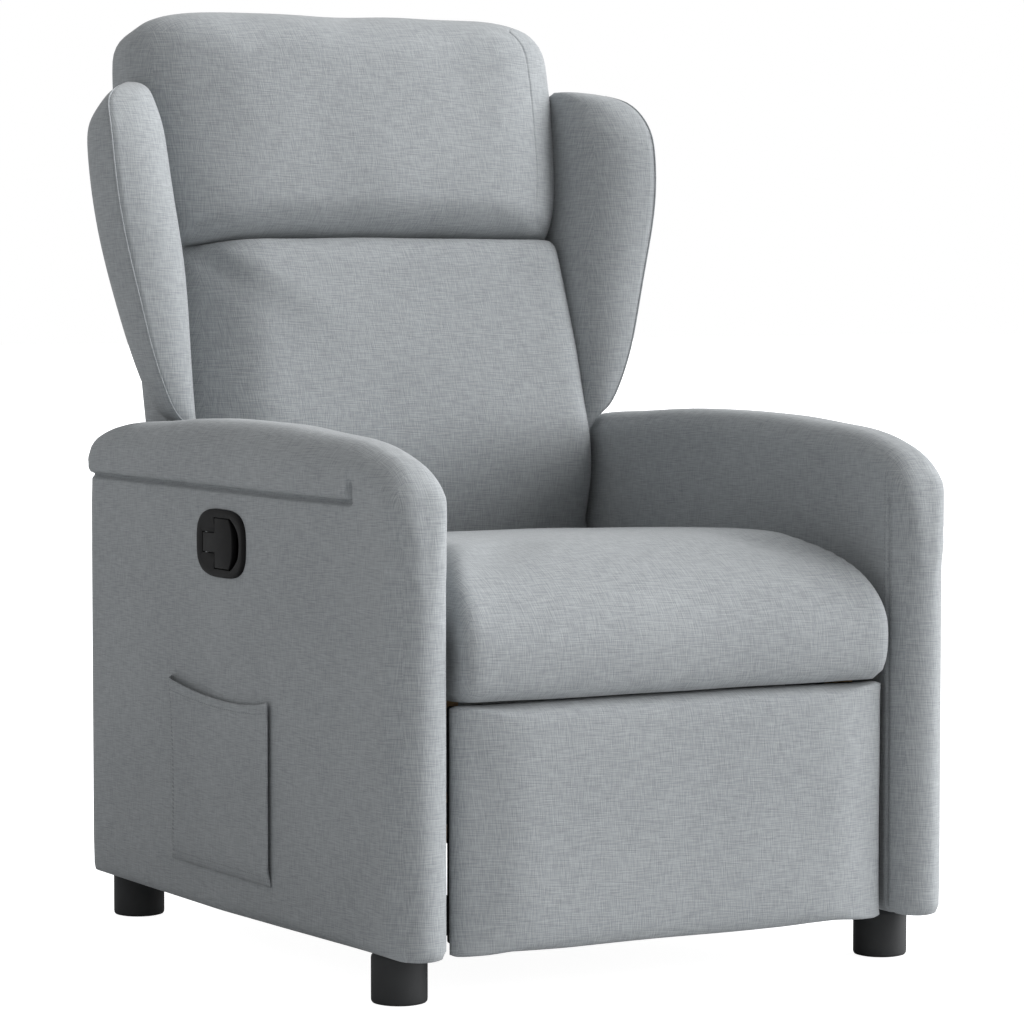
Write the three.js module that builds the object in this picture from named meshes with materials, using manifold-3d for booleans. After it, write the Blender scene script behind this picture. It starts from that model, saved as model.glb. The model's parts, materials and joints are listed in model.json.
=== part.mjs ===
// Wing-back recliner armchair with a flush pull release, in millimetres, +Z up.
// X runs across the chair, -Y is its front. The origin lies on the floor under the middle of its box.
import * as THREE from 'three';
import { mergeVertices } from 'three/addons/utils/BufferGeometryUtils.js';
import Module from 'manifold-3d';

const wasm = await Module();
wasm.setup();

// ---- driving dimensions ----
const gap = 0.3; // between pieces that touch
const frontToFeetMiddle = 418.1; // from the middle of the feet to the front of the seat roll
const rearToFeetMiddle = 485.4; // from the middle of the feet to the back of the head roll
const armInner = 280; // arm faces, measured from the chair's middle
const armOuter = 357;
const armFront = -415;
const armRear = 345;
const bodyBottom = 56; // underside of the arms, on top of the feet
const padSeamHeight = 520; // where the arm pad meets the arm's side panel
const padFront = -327;
const foot = { radius: 30, x: 305.5, y: 333.6 };
const board = { inner: 302, outer: 320, front: -360, rear: 325, top: 505 }; // plywood in each arm
const cavity = { inner: 300, outer: 337, front: -364, rear: 329, top: 508 };

const seatRail = { inner: 238, outer: 262.5, low: 300, high: 345, front: -364, rear: 187, thick: 24 };
const springHeight = 347.6;
const springWire = 2; // radius
const seatPivot = { y: 280, z: 330 }; // where the back turns on the seat
const pivotPin = 6; // radius
const pivotBore = 6.4;

const backTilt = THREE.MathUtils.degToRad(13);
const backFoot = { y: 193.7, z: 345 }; // foot of the back's front surface
const post = { inner: 238, outer: 263, front: 58.3, rear: 103, low: 35, high: 690 };
const backPanel = { half: 271, front: 57, rear: 135, low: 8, high: 690, skin: 2.5, pad: 18 };
const headSeam = 474; // along the back, from its foot
const cushionRear = 52;

const linkLength = 165;
const linkRadius = 11;
const liftPivot = { y: -300, z: 285 }; // torque tube
const panelPivot = { y: -345, z: 200 }; // footrest hinge
const tubeRadius = 10;
const linkPin = 5;
const linkBore = 5.4;
const layer = { bracket: [233, 237], lift: [227, 231], carry: [221, 225], hinge: [215, 219] };

const plate = { y: -13, z: 466, length: 122, height: 76, thick: 4.5, depth: 19 }; // release plate
const pull = { front: -45, neck: 0, rear: 30, wide: 56, narrow: 22, fingerGap: 18, swingRoom: 1.6, pinY: 25 };
const pocket = { front: -135, rear: 120, low: 99, high: 308, stand: 9, cloth: 1.8, hem: 3.2 };

// ---- materials ----
function finish(color, roughness, metalness = 0) {
  return new THREE.MeshStandardMaterial({ color, roughness, metalness });
}
const fabric = finish(0x8d9396, 0.95);
const plywood = finish(0xc4a06e, 0.7);
const steel = finish(0x3c3e40, 0.45, 0.8);
const zinc = finish(0xa9abad, 0.35, 0.9);
const plastic = finish(0x202224, 0.5);
const webbing = finish(0x2b2b2d, 0.9);

// ---- geometry helpers ----
function toSolid(geometry) {
  const bare = geometry.clone();
  bare.deleteAttribute('normal');
  bare.deleteAttribute('uv');
  const merged = mergeVertices(bare, 1e-4);
  const vertProperties = new Float32Array(merged.attributes.position.array);
  const triVerts = new Uint32Array(merged.index.array);
  return new wasm.Manifold(new wasm.Mesh({ numProp: 3, vertProperties, triVerts }));
}

function toGeometry(solid) {
  const mesh = solid.getMesh();
  const geometry = new THREE.BufferGeometry();
  geometry.setAttribute('position', new THREE.BufferAttribute(mesh.vertProperties, 3));
  geometry.setIndex(new THREE.BufferAttribute(mesh.triVerts, 1));
  return geometry;
}

function cut(geometry, ...tools) {
  return toGeometry(tools.reduce((solid, tool) => solid.subtract(toSolid(tool)), toSolid(geometry)));
}

function join(geometry, ...others) {
  return toGeometry(others.reduce((solid, other) => solid.add(toSolid(other)), toSolid(geometry)));
}

function common(first, second) {
  return toGeometry(toSolid(first).intersect(toSolid(second)));
}

function box(x, y, z) {
  const geometry = new THREE.BoxGeometry(x[1] - x[0], y[1] - y[0], z[1] - z[0]);
  return geometry.translate((x[0] + x[1]) / 2, (y[0] + y[1]) / 2, (z[0] + z[1]) / 2);
}

// a range across the chair on one side: side is 1 or -1, near and far count from the middle
function across(side, near, far) {
  return side > 0 ? [near, far] : [-far, -near];
}

function outline(points) {
  return new THREE.Shape(points.map(([u, v]) => new THREE.Vector2(u, v)));
}

// a smooth run through hand-set points, as a list of pairs
function smooth(points, steps) {
  const curve = new THREE.SplineCurve(points.map(([u, v]) => new THREE.Vector2(u, v)));
  return curve.getPoints(steps).map((p) => [p.x, p.y]);
}

function extrude(shape, depth) {
  return new THREE.ExtrudeGeometry(shape, { depth, bevelEnabled: false, curveSegments: 5 });
}

// outline in (y, z), swept across x
function sweepX(shape, x) {
  const turn = new THREE.Matrix4().set(0, 0, 1, x[0], 1, 0, 0, 0, 0, 1, 0, 0, 0, 0, 0, 1);
  return extrude(shape, x[1] - x[0]).applyMatrix4(turn);
}

// outline in (x, z), swept along y
function sweepY(shape, y) {
  return extrude(shape, y[1] - y[0]).rotateX(Math.PI / 2).translate(0, y[1], 0);
}

// outline in (x, y), swept up z
function sweepZ(shape, z) {
  return extrude(shape, z[1] - z[0]).translate(0, 0, z[0]);
}

function rodX(radius, x, y, z, sides = 16) {
  const rod = new THREE.CylinderGeometry(radius, radius, x[1] - x[0], sides);
  return rod.rotateZ(Math.PI / 2).translate((x[0] + x[1]) / 2, y, z);
}

function rodZ(radius, x, y, z, sides = 16) {
  const rod = new THREE.CylinderGeometry(radius, radius, z[1] - z[0], sides);
  return rod.rotateX(Math.PI / 2).translate(x, y, (z[0] + z[1]) / 2);
}

// a closed skin over rings that all have the same number of points
function loft(rings) {
  const count = rings[0].length;
  const positions = rings.flat(2);
  const index = [];
  for (let r = 0; r + 1 < rings.length; r += 1) {
    for (let i = 0; i < count; i += 1) {
      const a = r * count + i;
      const b = r * count + ((i + 1) % count);
      index.push(a, b, b + count, a, b + count, a + count);
    }
  }
  const top = (rings.length - 1) * count;
  for (let i = 1; i + 1 < count; i += 1) {
    index.push(0, i + 1, i, top, top + i, top + i + 1);
  }
  const geometry = new THREE.BufferGeometry();
  geometry.setAttribute('position', new THREE.Float32BufferAttribute(positions, 3));
  geometry.setIndex(index);
  return geometry;
}

// the same piece on the other side, with its faces turned back outwards
function mirrored(geometry) {
  const copy = geometry.index ? geometry.clone() : mergeVertices(geometry.clone());
  copy.scale(-1, 1, 1);
  const order = copy.index.array;
  for (let i = 0; i < order.length; i += 3) {
    [order[i], order[i + 1]] = [order[i + 1], order[i]];
  }
  return copy;
}

function onSide(side, geometry) {
  return side > 0 ? geometry : mirrored(geometry);
}

const recliner = new THREE.Group();
recliner.position.y = (frontToFeetMiddle - rearToFeetMiddle) / 2;
const backGroup = new THREE.Group();
backGroup.position.set(0, backFoot.y, backFoot.z);
backGroup.rotation.x = -backTilt;
recliner.add(backGroup);

function add(name, geometry, material, parent = recliner) {
  const mesh = new THREE.Mesh(geometry, material);
  mesh.name = name;
  parent.add(mesh);
}

const sides = [[1, 'right'], [-1, 'left']];

// ---- arms ----
// the arm seen from above: a small inner and a large outer front corner
function armPlan() {
  const shape = new THREE.Shape();
  shape.moveTo(armInner, armRear);
  shape.lineTo(armInner, armFront + 25);
  shape.quadraticCurveTo(armInner, armFront, armInner + 25, armFront);
  shape.quadraticCurveTo(armOuter, armFront, armOuter, armFront + 75);
  shape.lineTo(armOuter, armRear - 15);
  shape.quadraticCurveTo(armOuter, armRear, armOuter - 15, armRear);
  return shape;
}

function armShell(side) {
  const profile = outline([
    [armRear, bodyBottom], [armRear, padSeamHeight], [padFront, padSeamHeight], [padFront, 575],
    ...smooth([[-350, 570], [-385, 556], [-407, 530], [armFront, 495]], 6), [armFront, bodyBottom],
  ]);
  const body = common(sweepZ(armPlan(), [bodyBottom, 600]), sweepX(profile, [armInner, armOuter]));
  const hollow = box([cavity.inner, cavity.outer], [cavity.front, cavity.rear], [0, cavity.top]);
  const cuts = [hollow];
  if (side < 0) {
    cuts.push(releaseCutout(), cableHole([armInner - 5, cavity.inner + 5]));
  }
  return onSide(side, cut(body, ...cuts));
}

function armPad(side) {
  const profile = outline([
    [padFront + gap, padSeamHeight + gap],
    ...smooth([
      [padFront + gap, 576], [-233, 585], [-130, 594], [-44, 598], [90, 596], [206, 589], [303, 577],
    ], 12),
    [332, 566], [armRear, 540], [armRear, padSeamHeight + gap],
  ]);
  const body = common(sweepZ(armPlan(), [500, 620]), sweepX(profile, [armInner, armOuter]));
  return onSide(side, body);
}

function armBoard(side) {
  const sheet = box([board.inner, board.outer], [board.front, board.rear], [bodyBottom + 4, board.top]);
  return onSide(side, side < 0 ? cut(sheet, cableHole([board.inner - 5, board.outer + 5])) : sheet);
}

// these two are drawn on the right and cut before the arm is mirrored
function releaseCutout() {
  const half = { y: plate.length / 2 - 9, z: plate.height / 2 - 5 };
  const y = [plate.y - half.y, plate.y + half.y];
  return box([cavity.outer - 5, armOuter + 5], y, [plate.z - half.z, plate.z + half.z]);
}

function cableHole(x) {
  return rodX(12, x, -60, 251, 12);
}

function footPiece(side, end) {
  const r = foot.radius;
  const profile = [[0, 0], [r - 3, 0], [r, 3], [r, 50], [r - 2, bodyBottom - gap], [0, bodyBottom - gap]];
  const turned = new THREE.LatheGeometry(profile.map(([x, y]) => new THREE.Vector2(x, y)), 28);
  return turned.rotateX(Math.PI / 2).translate(side * foot.x, end * foot.y, 0);
}

for (const [side, name] of sides) {
  add(`arm_shell_${name}`, armShell(side), fabric);
  add(`arm_pad_${name}`, armPad(side), fabric);
  add(`arm_board_${name}`, armBoard(side), plywood);
  add(`foot_front_${name}`, footPiece(side, -1), plastic);
  add(`foot_rear_${name}`, footPiece(side, 1), plastic);
}

// ---- base between the arms ----
const baseWidth = [-armInner + gap, armInner - gap];
add('base_rail_front', box(baseWidth, [-300, -275], [60, 98]), plywood);
add('base_rail_rear', box(baseWidth, [300, 324], [60, 120]), plywood);
add('rear_panel', box(baseWidth, [325, 343], [60, 312]), fabric);

// a channel open towards the middle, in which the seat's slider runs
function track(side) {
  const outer = box([266, armInner - gap], [-240, 170], [300, 330]);
  const slot = box([260, 274], [-250, 180], [306, 324]);
  return onSide(side, cut(outer, slot));
}

function slider(side) {
  return box(across(side, seatRail.outer + gap, 273), [-200, 150], [307, 323]);
}

for (const [side, name] of sides) {
  add(`track_${name}`, track(side), steel);
  add(`slider_${name}`, slider(side), zinc);
}

// ---- release plate, pull, cable and latch, on the left arm ----
function roundedPlate(halfY, halfZ, corner) {
  const shape = new THREE.Shape();
  shape.moveTo(-halfY + corner, -halfZ);
  shape.lineTo(halfY - corner, -halfZ);
  shape.quadraticCurveTo(halfY, -halfZ, halfY, -halfZ + corner);
  shape.lineTo(halfY, halfZ - corner);
  shape.quadraticCurveTo(halfY, halfZ, halfY - corner, halfZ);
  shape.lineTo(-halfY + corner, halfZ);
  shape.quadraticCurveTo(-halfY, halfZ, -halfY, halfZ - corner);
  shape.lineTo(-halfY, -halfZ + corner);
  shape.quadraticCurveTo(-halfY, -halfZ, -halfY + corner, -halfZ);
  return shape;
}

// the T that the pull fills, grown by a margin, with room for fingers in front and for its swing behind
function pullShape(margin, fingerRoom, swingRoom) {
  const wide = pull.wide / 2 + margin;
  const narrow = pull.narrow / 2 + margin;
  const front = pull.front - margin - fingerRoom;
  const rear = pull.rear + margin + swingRoom;
  return outline([
    [front, plate.z - wide], [pull.neck + margin, plate.z - wide], [pull.neck + margin, plate.z - narrow],
    [rear, plate.z - narrow], [rear, plate.z + narrow],
    [pull.neck + margin, plate.z + narrow], [pull.neck + margin, plate.z + wide], [front, plate.z + wide],
  ]);
}

const plateBack = -armOuter - gap;
const plateFace = plateBack - plate.thick;
const pinX = plateBack - 0.6;

function releaseHousing() {
  const flange = sweepX(roundedPlate(plate.length / 2, plate.height / 2, 30), [plateFace, plateBack]);
  flange.translate(0, plate.y, plate.z);
  const cupHalf = { y: plate.length / 2 - 9.5, z: plate.height / 2 - 5.5 };
  const cup = box(
    [plateBack - 2, -armOuter + plate.depth],
    [plate.y - cupHalf.y, plate.y + cupHalf.y],
    [plate.z - cupHalf.z, plate.z + cupHalf.z],
  );
  const opening = pullShape(0.8, pull.fingerGap, pull.swingRoom);
  const recess = sweepX(opening, [plateFace - 5, -armOuter + plate.depth - 3]);
  const pinHole = rodZ(2.3, pinX, pull.pinY, [plate.z - 19, plate.z + 19], 10);
  return cut(join(flange, cup), recess, pinHole);
}

function releasePull() {
  const body = sweepX(pullShape(0, 0, 0), [plateFace + 0.5, plateBack + 2.5]);
  return cut(body, rodZ(2.3, pinX, pull.pinY, [plate.z - 40, plate.z + 40], 10));
}

function releaseCable() {
  const route = [
    [-337.3, -5, 452], [-333, -5, 451], [-328, -6, 444], [-327, -14, 410], [-327, -34, 350],
    [-327, -52, 290], [-325, -59, 262], [-316, -60, 250], [-300, -60, 248], [-284, -60, 248], [-275, -60, 250],
  ];
  const path = new THREE.CatmullRomCurve3(route.map(([x, y, z]) => new THREE.Vector3(x, y, z)));
  const section = new THREE.Shape().absarc(0, 0, 2.5, 0, 2 * Math.PI);
  return new THREE.ExtrudeGeometry(section, { steps: 24, extrudePath: path, curveSegments: 4 });
}

// the latch plate hangs on the arm, the pawl turns on its stud and hooks up behind the slider
const latchStud = { y: -95, z: 262 };
function latchPlate() {
  const sheet = box([-279.6, -276], [-130, -72], [235, 290]);
  return join(sheet, rodX(4, [-277, -266], latchStud.y, latchStud.z, 12));
}

function latchPawl() {
  const arm = outline([[-107, 250], [-84, 250], [-80, 262], [-86, 274], [-92, 296], [-100, 297], [-105, 272]]);
  return cut(sweepX(arm, [-272, -268]), rodX(4.4, [-280, -260], latchStud.y, latchStud.z, 12));
}

function sidePocket() {
  const x = [-armOuter - pocket.stand, -armOuter - gap];
  const sheet = box(x, [pocket.front, pocket.rear], [pocket.low, pocket.high]);
  const inside = box(
    [x[0] + pocket.cloth, x[1] + 5],
    [pocket.front + pocket.hem, pocket.rear - pocket.hem],
    [pocket.low + pocket.hem, pocket.high + 5],
  );
  return cut(sheet, inside);
}

add('release_housing', releaseHousing(), plastic);
add('release_pull', releasePull(), plastic);
add('release_pin', rodZ(2, pinX, pull.pinY, [plate.z - 17, plate.z + 17], 10), zinc);
add('release_cable', releaseCable(), plastic);
add('latch_plate', latchPlate(), zinc);
add('latch_pawl', latchPawl(), steel);
add('side_pocket', sidePocket(), fabric);

// ---- seat ----
function seatSideRail(side) {
  const rail = box(
    [seatRail.inner, seatRail.outer],
    [seatRail.front + seatRail.thick + gap, 296],
    [seatRail.low, seatRail.high],
  );
  const bore = rodX(pivotBore, [230, 270], seatPivot.y, seatPivot.z);
  return onSide(side, cut(rail, bore));
}

// a zig-zag wire lying over the front and rear rails
function seatSpring(x) {
  const turns = 11;
  const front = -350;
  const pitch = 46;
  const swing = 22;
  const bends = [new THREE.Vector3(x, front, springHeight)];
  for (let i = 0; i < turns; i += 1) {
    const lean = i % 2 ? -swing : swing;
    bends.push(new THREE.Vector3(x + lean, front + (i + 0.5) * pitch, springHeight));
  }
  bends.push(new THREE.Vector3(x, front + turns * pitch, springHeight));
  const path = new THREE.CatmullRomCurve3(bends, false, 'catmullrom', 0.8);
  const section = new THREE.Shape().absarc(0, 0, springWire, 0, 2 * Math.PI);
  return new THREE.ExtrudeGeometry(section, { steps: 44, extrudePath: path, curveSegments: 3 });
}

// side profile with the front roll, narrowed by a rounded front view
function seatCushion() {
  const profile = outline([
    [-367, 353], [185, 353], [188, 400],
    ...smooth([
      [191, 450], [174, 470], [80, 473], [-80, 477], [-230, 479], [-320, 471],
      [-378, 444], [-409, 402], [-418, 360], [-413, 330], [-400, 319],
    ], 26),
    [-367, 319],
  ]);
  const half = smooth([[262, 319], [272, 334], [276, 362], [270, 395], [252, 436], [215, 468], [150, 480]], 14);
  const mirror = half.map(([x, z]) => [-x, z]).reverse();
  return common(sweepX(profile, [-300, 300]), sweepY(outline([...half, ...mirror]), [-450, 220]));
}

for (const [side, name] of sides) {
  add(`seat_rail_${name}`, seatSideRail(side), plywood);
}
const seatWidth = [-seatRail.outer, seatRail.outer];
const frontRailY = [seatRail.front, seatRail.front + seatRail.thick];
add('seat_rail_front', box(seatWidth, frontRailY, [322, seatRail.high]), plywood);
const rearRailX = [-seatRail.inner + gap, seatRail.inner - gap];
const rearRailY = [seatRail.rear - seatRail.thick, seatRail.rear];
add('seat_rail_rear', box(rearRailX, rearRailY, [seatRail.low, seatRail.high]), plywood);
[-165, -55, 55, 165].forEach((x, i) => add(`seat_spring_${i + 1}`, seatSpring(x), steel));
add('seat_cushion', seatCushion(), fabric);

// ---- footrest linkage ----
// the knee joins two equal links behind the line between their outer pivots
function kneePoint() {
  const dy = panelPivot.y - liftPivot.y;
  const dz = panelPivot.z - liftPivot.z;
  const reach = Math.hypot(dy, dz);
  const height = Math.sqrt(linkLength ** 2 - (reach / 2) ** 2);
  return {
    y: liftPivot.y + dy / 2 - (dz / reach) * height,
    z: liftPivot.z + dz / 2 + (dy / reach) * height,
  };
}
const knee = kneePoint();

// a flat bar with round ends between two pivots
function flatLink(a, b, x, radius = linkRadius) {
  const angle = Math.atan2(b.z - a.z, b.y - a.y);
  const shape = new THREE.Shape();
  shape.absarc(b.y, b.z, radius, angle - Math.PI / 2, angle + Math.PI / 2);
  shape.absarc(a.y, a.z, radius, angle + Math.PI / 2, angle + 1.5 * Math.PI);
  return sweepX(shape, x);
}

function pivotBracket(side) {
  const [near, far] = layer.bracket;
  const sheet = outline([
    [-322, 343], [-322, 280], [-312, 268], [-288, 268], [-278, 280], [-240, 305], [-240, 343],
  ]);
  const hole = rodX(tubeRadius + 0.5, [near - 5, far + 5], liftPivot.y, liftPivot.z, 20);
  return onSide(side, cut(sweepX(sheet, [near, far]), hole));
}

function liftLink(side) {
  const [near, far] = layer.lift;
  const bar = flatLink(liftPivot, knee, [near, far], 14);
  const hole = rodX(tubeRadius + gap, [near - 5, far + 5], liftPivot.y, liftPivot.z, 20);
  const pin = rodX(linkPin, [layer.carry[0] - 1, near + 1], knee.y, knee.z);
  return onSide(side, cut(join(bar, pin), hole));
}

function carryLink(side) {
  const [near, far] = layer.carry;
  const bar = flatLink(knee, panelPivot, [near, far]);
  const kneeHole = rodX(linkBore, [near - 5, far + 5], knee.y, knee.z);
  const panelHole = rodX(linkBore, [near - 5, far + 5], panelPivot.y, panelPivot.z);
  return onSide(side, cut(bar, kneeHole, panelHole));
}

function panelHinge(side) {
  const [near, far] = layer.hinge;
  const sheet = outline([[-359.7, 165], [-350, 165], [-334, 190], [-334, 210], [-350, 235], [-359.7, 235]]);
  const pin = rodX(linkPin, [far - 1, layer.carry[1] + 1], panelPivot.y, panelPivot.z);
  const foldedEdge = box([near - 22, far - 1], [-359.7, -356.7], [165, 235]);
  return onSide(side, join(sweepX(sheet, [near, far]), pin, foldedEdge));
}

function footrestPad() {
  const front = -410;
  const rear = -375;
  const half = 272;
  const shape = new THREE.Shape();
  shape.moveTo(half - 6, rear);
  shape.lineTo(-half + 6, rear);
  shape.quadraticCurveTo(-half, rear, -half, rear - 6);
  shape.quadraticCurveTo(-half, front, -half + 32, front);
  shape.lineTo(half - 32, front);
  shape.quadraticCurveTo(half, front, half, rear - 6);
  shape.quadraticCurveTo(half, rear, half - 6, rear);
  return sweepZ(shape, [58, 316]);
}

const tubeEnd = layer.bracket[1] - 0.5;
add('torque_tube', rodX(tubeRadius, [-tubeEnd, tubeEnd], liftPivot.y, liftPivot.z, 20), steel);
for (const [side, name] of sides) {
  add(`lift_bracket_${name}`, pivotBracket(side), steel);
  add(`lift_link_${name}`, liftLink(side), steel);
  add(`carry_link_${name}`, carryLink(side), steel);
  add(`footrest_hinge_${name}`, panelHinge(side), steel);
}
add('footrest_board', box([-262, 262], [-374.7, -360], [64, 312]), plywood);
add('footrest_pad', footrestPad(), fabric);

// ---- back, drawn upright in its own tilted group ----
// y is depth behind its front surface, z is height along it
function backPost(side) {
  return box(across(side, post.inner, post.outer), [post.front, post.rear], [post.low, post.high]);
}

// strap of steel beside the post, with the pin that turns in the seat's side rail
function backBracket(side) {
  const pivot = new THREE.Vector3(0, seatPivot.y - backFoot.y, seatPivot.z - backFoot.z);
  pivot.applyAxisAngle(new THREE.Vector3(1, 0, 0), backTilt);
  const x = [post.outer + gap, post.outer + gap + 4];
  const strap = flatLink({ y: pivot.y, z: pivot.z }, { y: 80, z: 150 }, x, 17);
  const pin = rodX(pivotPin, [seatRail.inner + 2, x[0] + 1], pivot.y, pivot.z);
  return onSide(side, join(strap, pin));
}

// rear panel with its two sides folded round the posts
function rearShell() {
  const { half, front, rear, low, high, skin, pad } = backPanel;
  const outer = box([-half, half], [front, rear], [low, high]);
  const inner = box([-half + skin, half - skin], [front - 5, rear - pad], [low - 5, high + 5]);
  return cut(outer, inner);
}

function lumbarCushion() {
  const profile = outline([
    [cushionRear, 25],
    [cushionRear, headSeam - 3],
    ...smooth([[0, headSeam - 3], [-16, 440], [-25, 330], [-25, 200], [-20, 110], [-8, 45], [6, 25]], 18),
  ]);
  const half = [[272, 25], [274, 120], [268, 300], [256, 430], [248, headSeam - 3]];
  const mirror = half.map(([x, z]) => [-x, z]).reverse();
  return common(sweepX(profile, [-300, 300]), sweepY(outline([...half, ...mirror]), [-60, 80]));
}

// the head cushion rolls over the top of the back
function headCushion() {
  const profile = outline([
    [cushionRear, headSeam + 3],
    [cushionRear, 693],
    [backPanel.rear, 693],
    ...smooth([
      [135, 712], [117, 744], [80, 761], [36, 763], [-6, 744], [-32, 690], [-38, 600], [-28, 520], [0, 477],
    ], 22),
  ]);
  const half = smooth([[250, 477], [270, 510], [282, 570], [285, 650], [278, 708], [246, 748], [170, 762]], 14);
  const mirror = half.map(([x, z]) => [-x, z]).reverse();
  return common(sweepX(profile, [-300, 300]), sweepY(outline([...half, ...mirror]), [-60, 160]));
}

// level rings: root front, bulged inner face, front edge, outer band, rear, root rear
function wing(side) {
  const levels = [
    { z: 600, root: 276, rootFront: 272, frontX: 301, frontY: 243, rearX: 299, rearY: 306, rootRear: 330 },
    { z: 665, root: 275, rootFront: 300, frontX: 320, frontY: 244, rearX: 317, rearY: 316, rootRear: 352 },
    { z: 729, root: 274, rootFront: 326, frontX: 337, frontY: 247, rearX: 333, rearY: 326, rootRear: 375 },
    { z: 790, root: 276, rootFront: 345, frontX: 352, frontY: 249, rearX: 347, rearY: 333, rootRear: 395 },
    { z: 850, root: 287, rootFront: 360, frontX: 362, frontY: 251, rearX: 356, rearY: 337, rootRear: 414 },
    { z: 905, root: 289, rootFront: 368, frontX: 367, frontY: 256, rearX: 360, rearY: 340, rootRear: 425 },
    { z: 945, root: 290, rootFront: 370, frontX: 361, frontY: 270, rearX: 354, rearY: 345, rootRear: 430 },
    { z: 972, root: 291, rootFront: 371, frontX: 342, frontY: 297, rearX: 337, rearY: 355, rootRear: 428 },
    { z: 986, root: 292, rootFront: 374, frontX: 318, frontY: 330, rearX: 316, rearY: 368, rootRear: 410 },
  ];
  const rings = levels.map((l) => {
    const run = [l.frontX - l.root, l.frontY - l.rootFront];
    const bulge = (share, out) => [
      l.root + run[0] * share + run[1] * out,
      l.rootFront + run[1] * share - run[0] * out,
      l.z,
    ];
    return [
      [l.root, l.rootFront, l.z], bulge(0.3, 0.12), bulge(0.65, 0.16), bulge(0.9, 0.1),
      [l.frontX, l.frontY, l.z], [l.frontX, (l.frontY + l.rearY) / 2, l.z],
      [l.rearX, l.rearY, l.z], [l.root, l.rootRear, l.z],
    ];
  });
  return onSide(side, loft(rings));
}

for (const [side, name] of sides) {
  add(`back_post_${name}`, backPost(side), plywood, backGroup);
  add(`back_bracket_${name}`, backBracket(side), steel, backGroup);
  add(`wing_${name}`, wing(side), fabric);
}
const railSpan = [-post.inner + gap, post.inner - gap];
const railDepth = [post.front, post.rear];
add('back_rail_bottom', box(railSpan, railDepth, [post.low, 80]), plywood, backGroup);
add('back_rail_middle', box(railSpan, railDepth, [455, 495]), plywood, backGroup);
add('back_rail_top', box(railSpan, railDepth, [640, post.high]), plywood, backGroup);
[130, 240, 350].forEach((height, i) => {
  const strap = box([-post.outer, post.outer], [54, 57], [height - 25, height + 25]);
  add(`back_web_${i + 1}`, strap, webbing, backGroup);
});
add('back_panel', rearShell(), fabric, backGroup);
add('lumbar_cushion', lumbarCushion(), fabric, backGroup);
add('head_cushion', headCushion(), fabric, backGroup);

export default recliner;
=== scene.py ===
import json
import math
import bpy
import numpy as np
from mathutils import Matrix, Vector
from mathutils.bvhtree import BVHTree


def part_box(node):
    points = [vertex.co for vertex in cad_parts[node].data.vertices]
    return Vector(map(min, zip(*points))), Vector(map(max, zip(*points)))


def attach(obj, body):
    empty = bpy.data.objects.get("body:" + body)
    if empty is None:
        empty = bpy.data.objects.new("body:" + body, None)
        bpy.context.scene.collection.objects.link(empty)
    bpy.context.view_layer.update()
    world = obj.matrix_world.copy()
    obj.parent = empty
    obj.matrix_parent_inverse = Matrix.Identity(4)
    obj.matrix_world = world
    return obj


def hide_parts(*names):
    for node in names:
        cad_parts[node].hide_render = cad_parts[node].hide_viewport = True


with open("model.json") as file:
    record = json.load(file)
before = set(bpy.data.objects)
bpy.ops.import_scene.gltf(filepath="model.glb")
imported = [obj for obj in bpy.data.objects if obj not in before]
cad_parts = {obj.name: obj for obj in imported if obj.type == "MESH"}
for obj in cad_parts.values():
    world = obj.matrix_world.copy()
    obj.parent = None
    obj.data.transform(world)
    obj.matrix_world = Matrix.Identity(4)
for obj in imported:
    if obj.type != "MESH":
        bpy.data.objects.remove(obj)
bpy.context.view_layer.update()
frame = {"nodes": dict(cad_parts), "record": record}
scene = bpy.context.scene
print("frame loaded:", len(frame["nodes"]), "nodes")

# small tools

def toLinear(hexColor):
    # sRGB hex to the linear colour that shaders take
    values = [int(hexColor[i:i + 2], 16) / 255 for i in (1, 3, 5)]
    linear = [v / 12.92 if v <= 0.04045 else ((v + 0.055) / 1.055) ** 2.4 for v in values]
    return (*linear, 1.0)


def addNode(tree, kind, settings=None, links=None):
    # settings: a socket's name or number and its value, or a property of the node; links: input to output
    node = tree.nodes.new(kind)
    for key, value in (settings or {}).items():
        if isinstance(key, int) or key in node.inputs:
            node.inputs[key].default_value = value
        else:
            setattr(node, key, value)
    for key, output in (links or {}).items():
        tree.links.new(output, node.inputs[key])
    return node


def gridLines(low, high, step, fine=()):
    # even lines, with closer ones where a seam or an edge needs them: (middle, reach, small step)
    values = list(np.linspace(low, high, max(2, round((high - low) / step) + 1)))
    for middle, reach, small in fine:
        values = [v for v in values if abs(v - middle) > reach + small / 2 or v in (low, high)]
        values += list(np.linspace(middle - reach, middle + reach, 2 * round(reach / small) + 1))
    return np.array(sorted(set(np.round(np.clip(values, low, high), 6))))


def boxGrid(lines):
    # the closed surface of a box, in quads along three sets of grid lines
    points, quads, total = [], [], 0
    for axis, (u, v) in enumerate([(1, 2), (2, 0), (0, 1)]):
        for end in (0, -1):
            a, b = lines[u], lines[v]
            grid = np.zeros((len(a), len(b), 3))
            grid[..., u], grid[..., v] = a[:, None], b[None, :]
            grid[..., axis] = lines[axis][end]
            index = np.arange(len(a) * len(b)).reshape(len(a), len(b)) + total
            quad = np.stack([index[:-1, :-1], index[1:, :-1], index[1:, 1:], index[:-1, 1:]], -1)
            quads.append(quad.reshape(-1, 4)[:, ::1 if end else -1])
            points.append(grid.reshape(-1, 3))
            total += index.size
    points, quads = np.concatenate(points), np.concatenate(quads)
    _, first, inverse = np.unique(np.round(points, 6), axis=0, return_index=True, return_inverse=True)
    return points[first], inverse.ravel()[quads]


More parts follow.
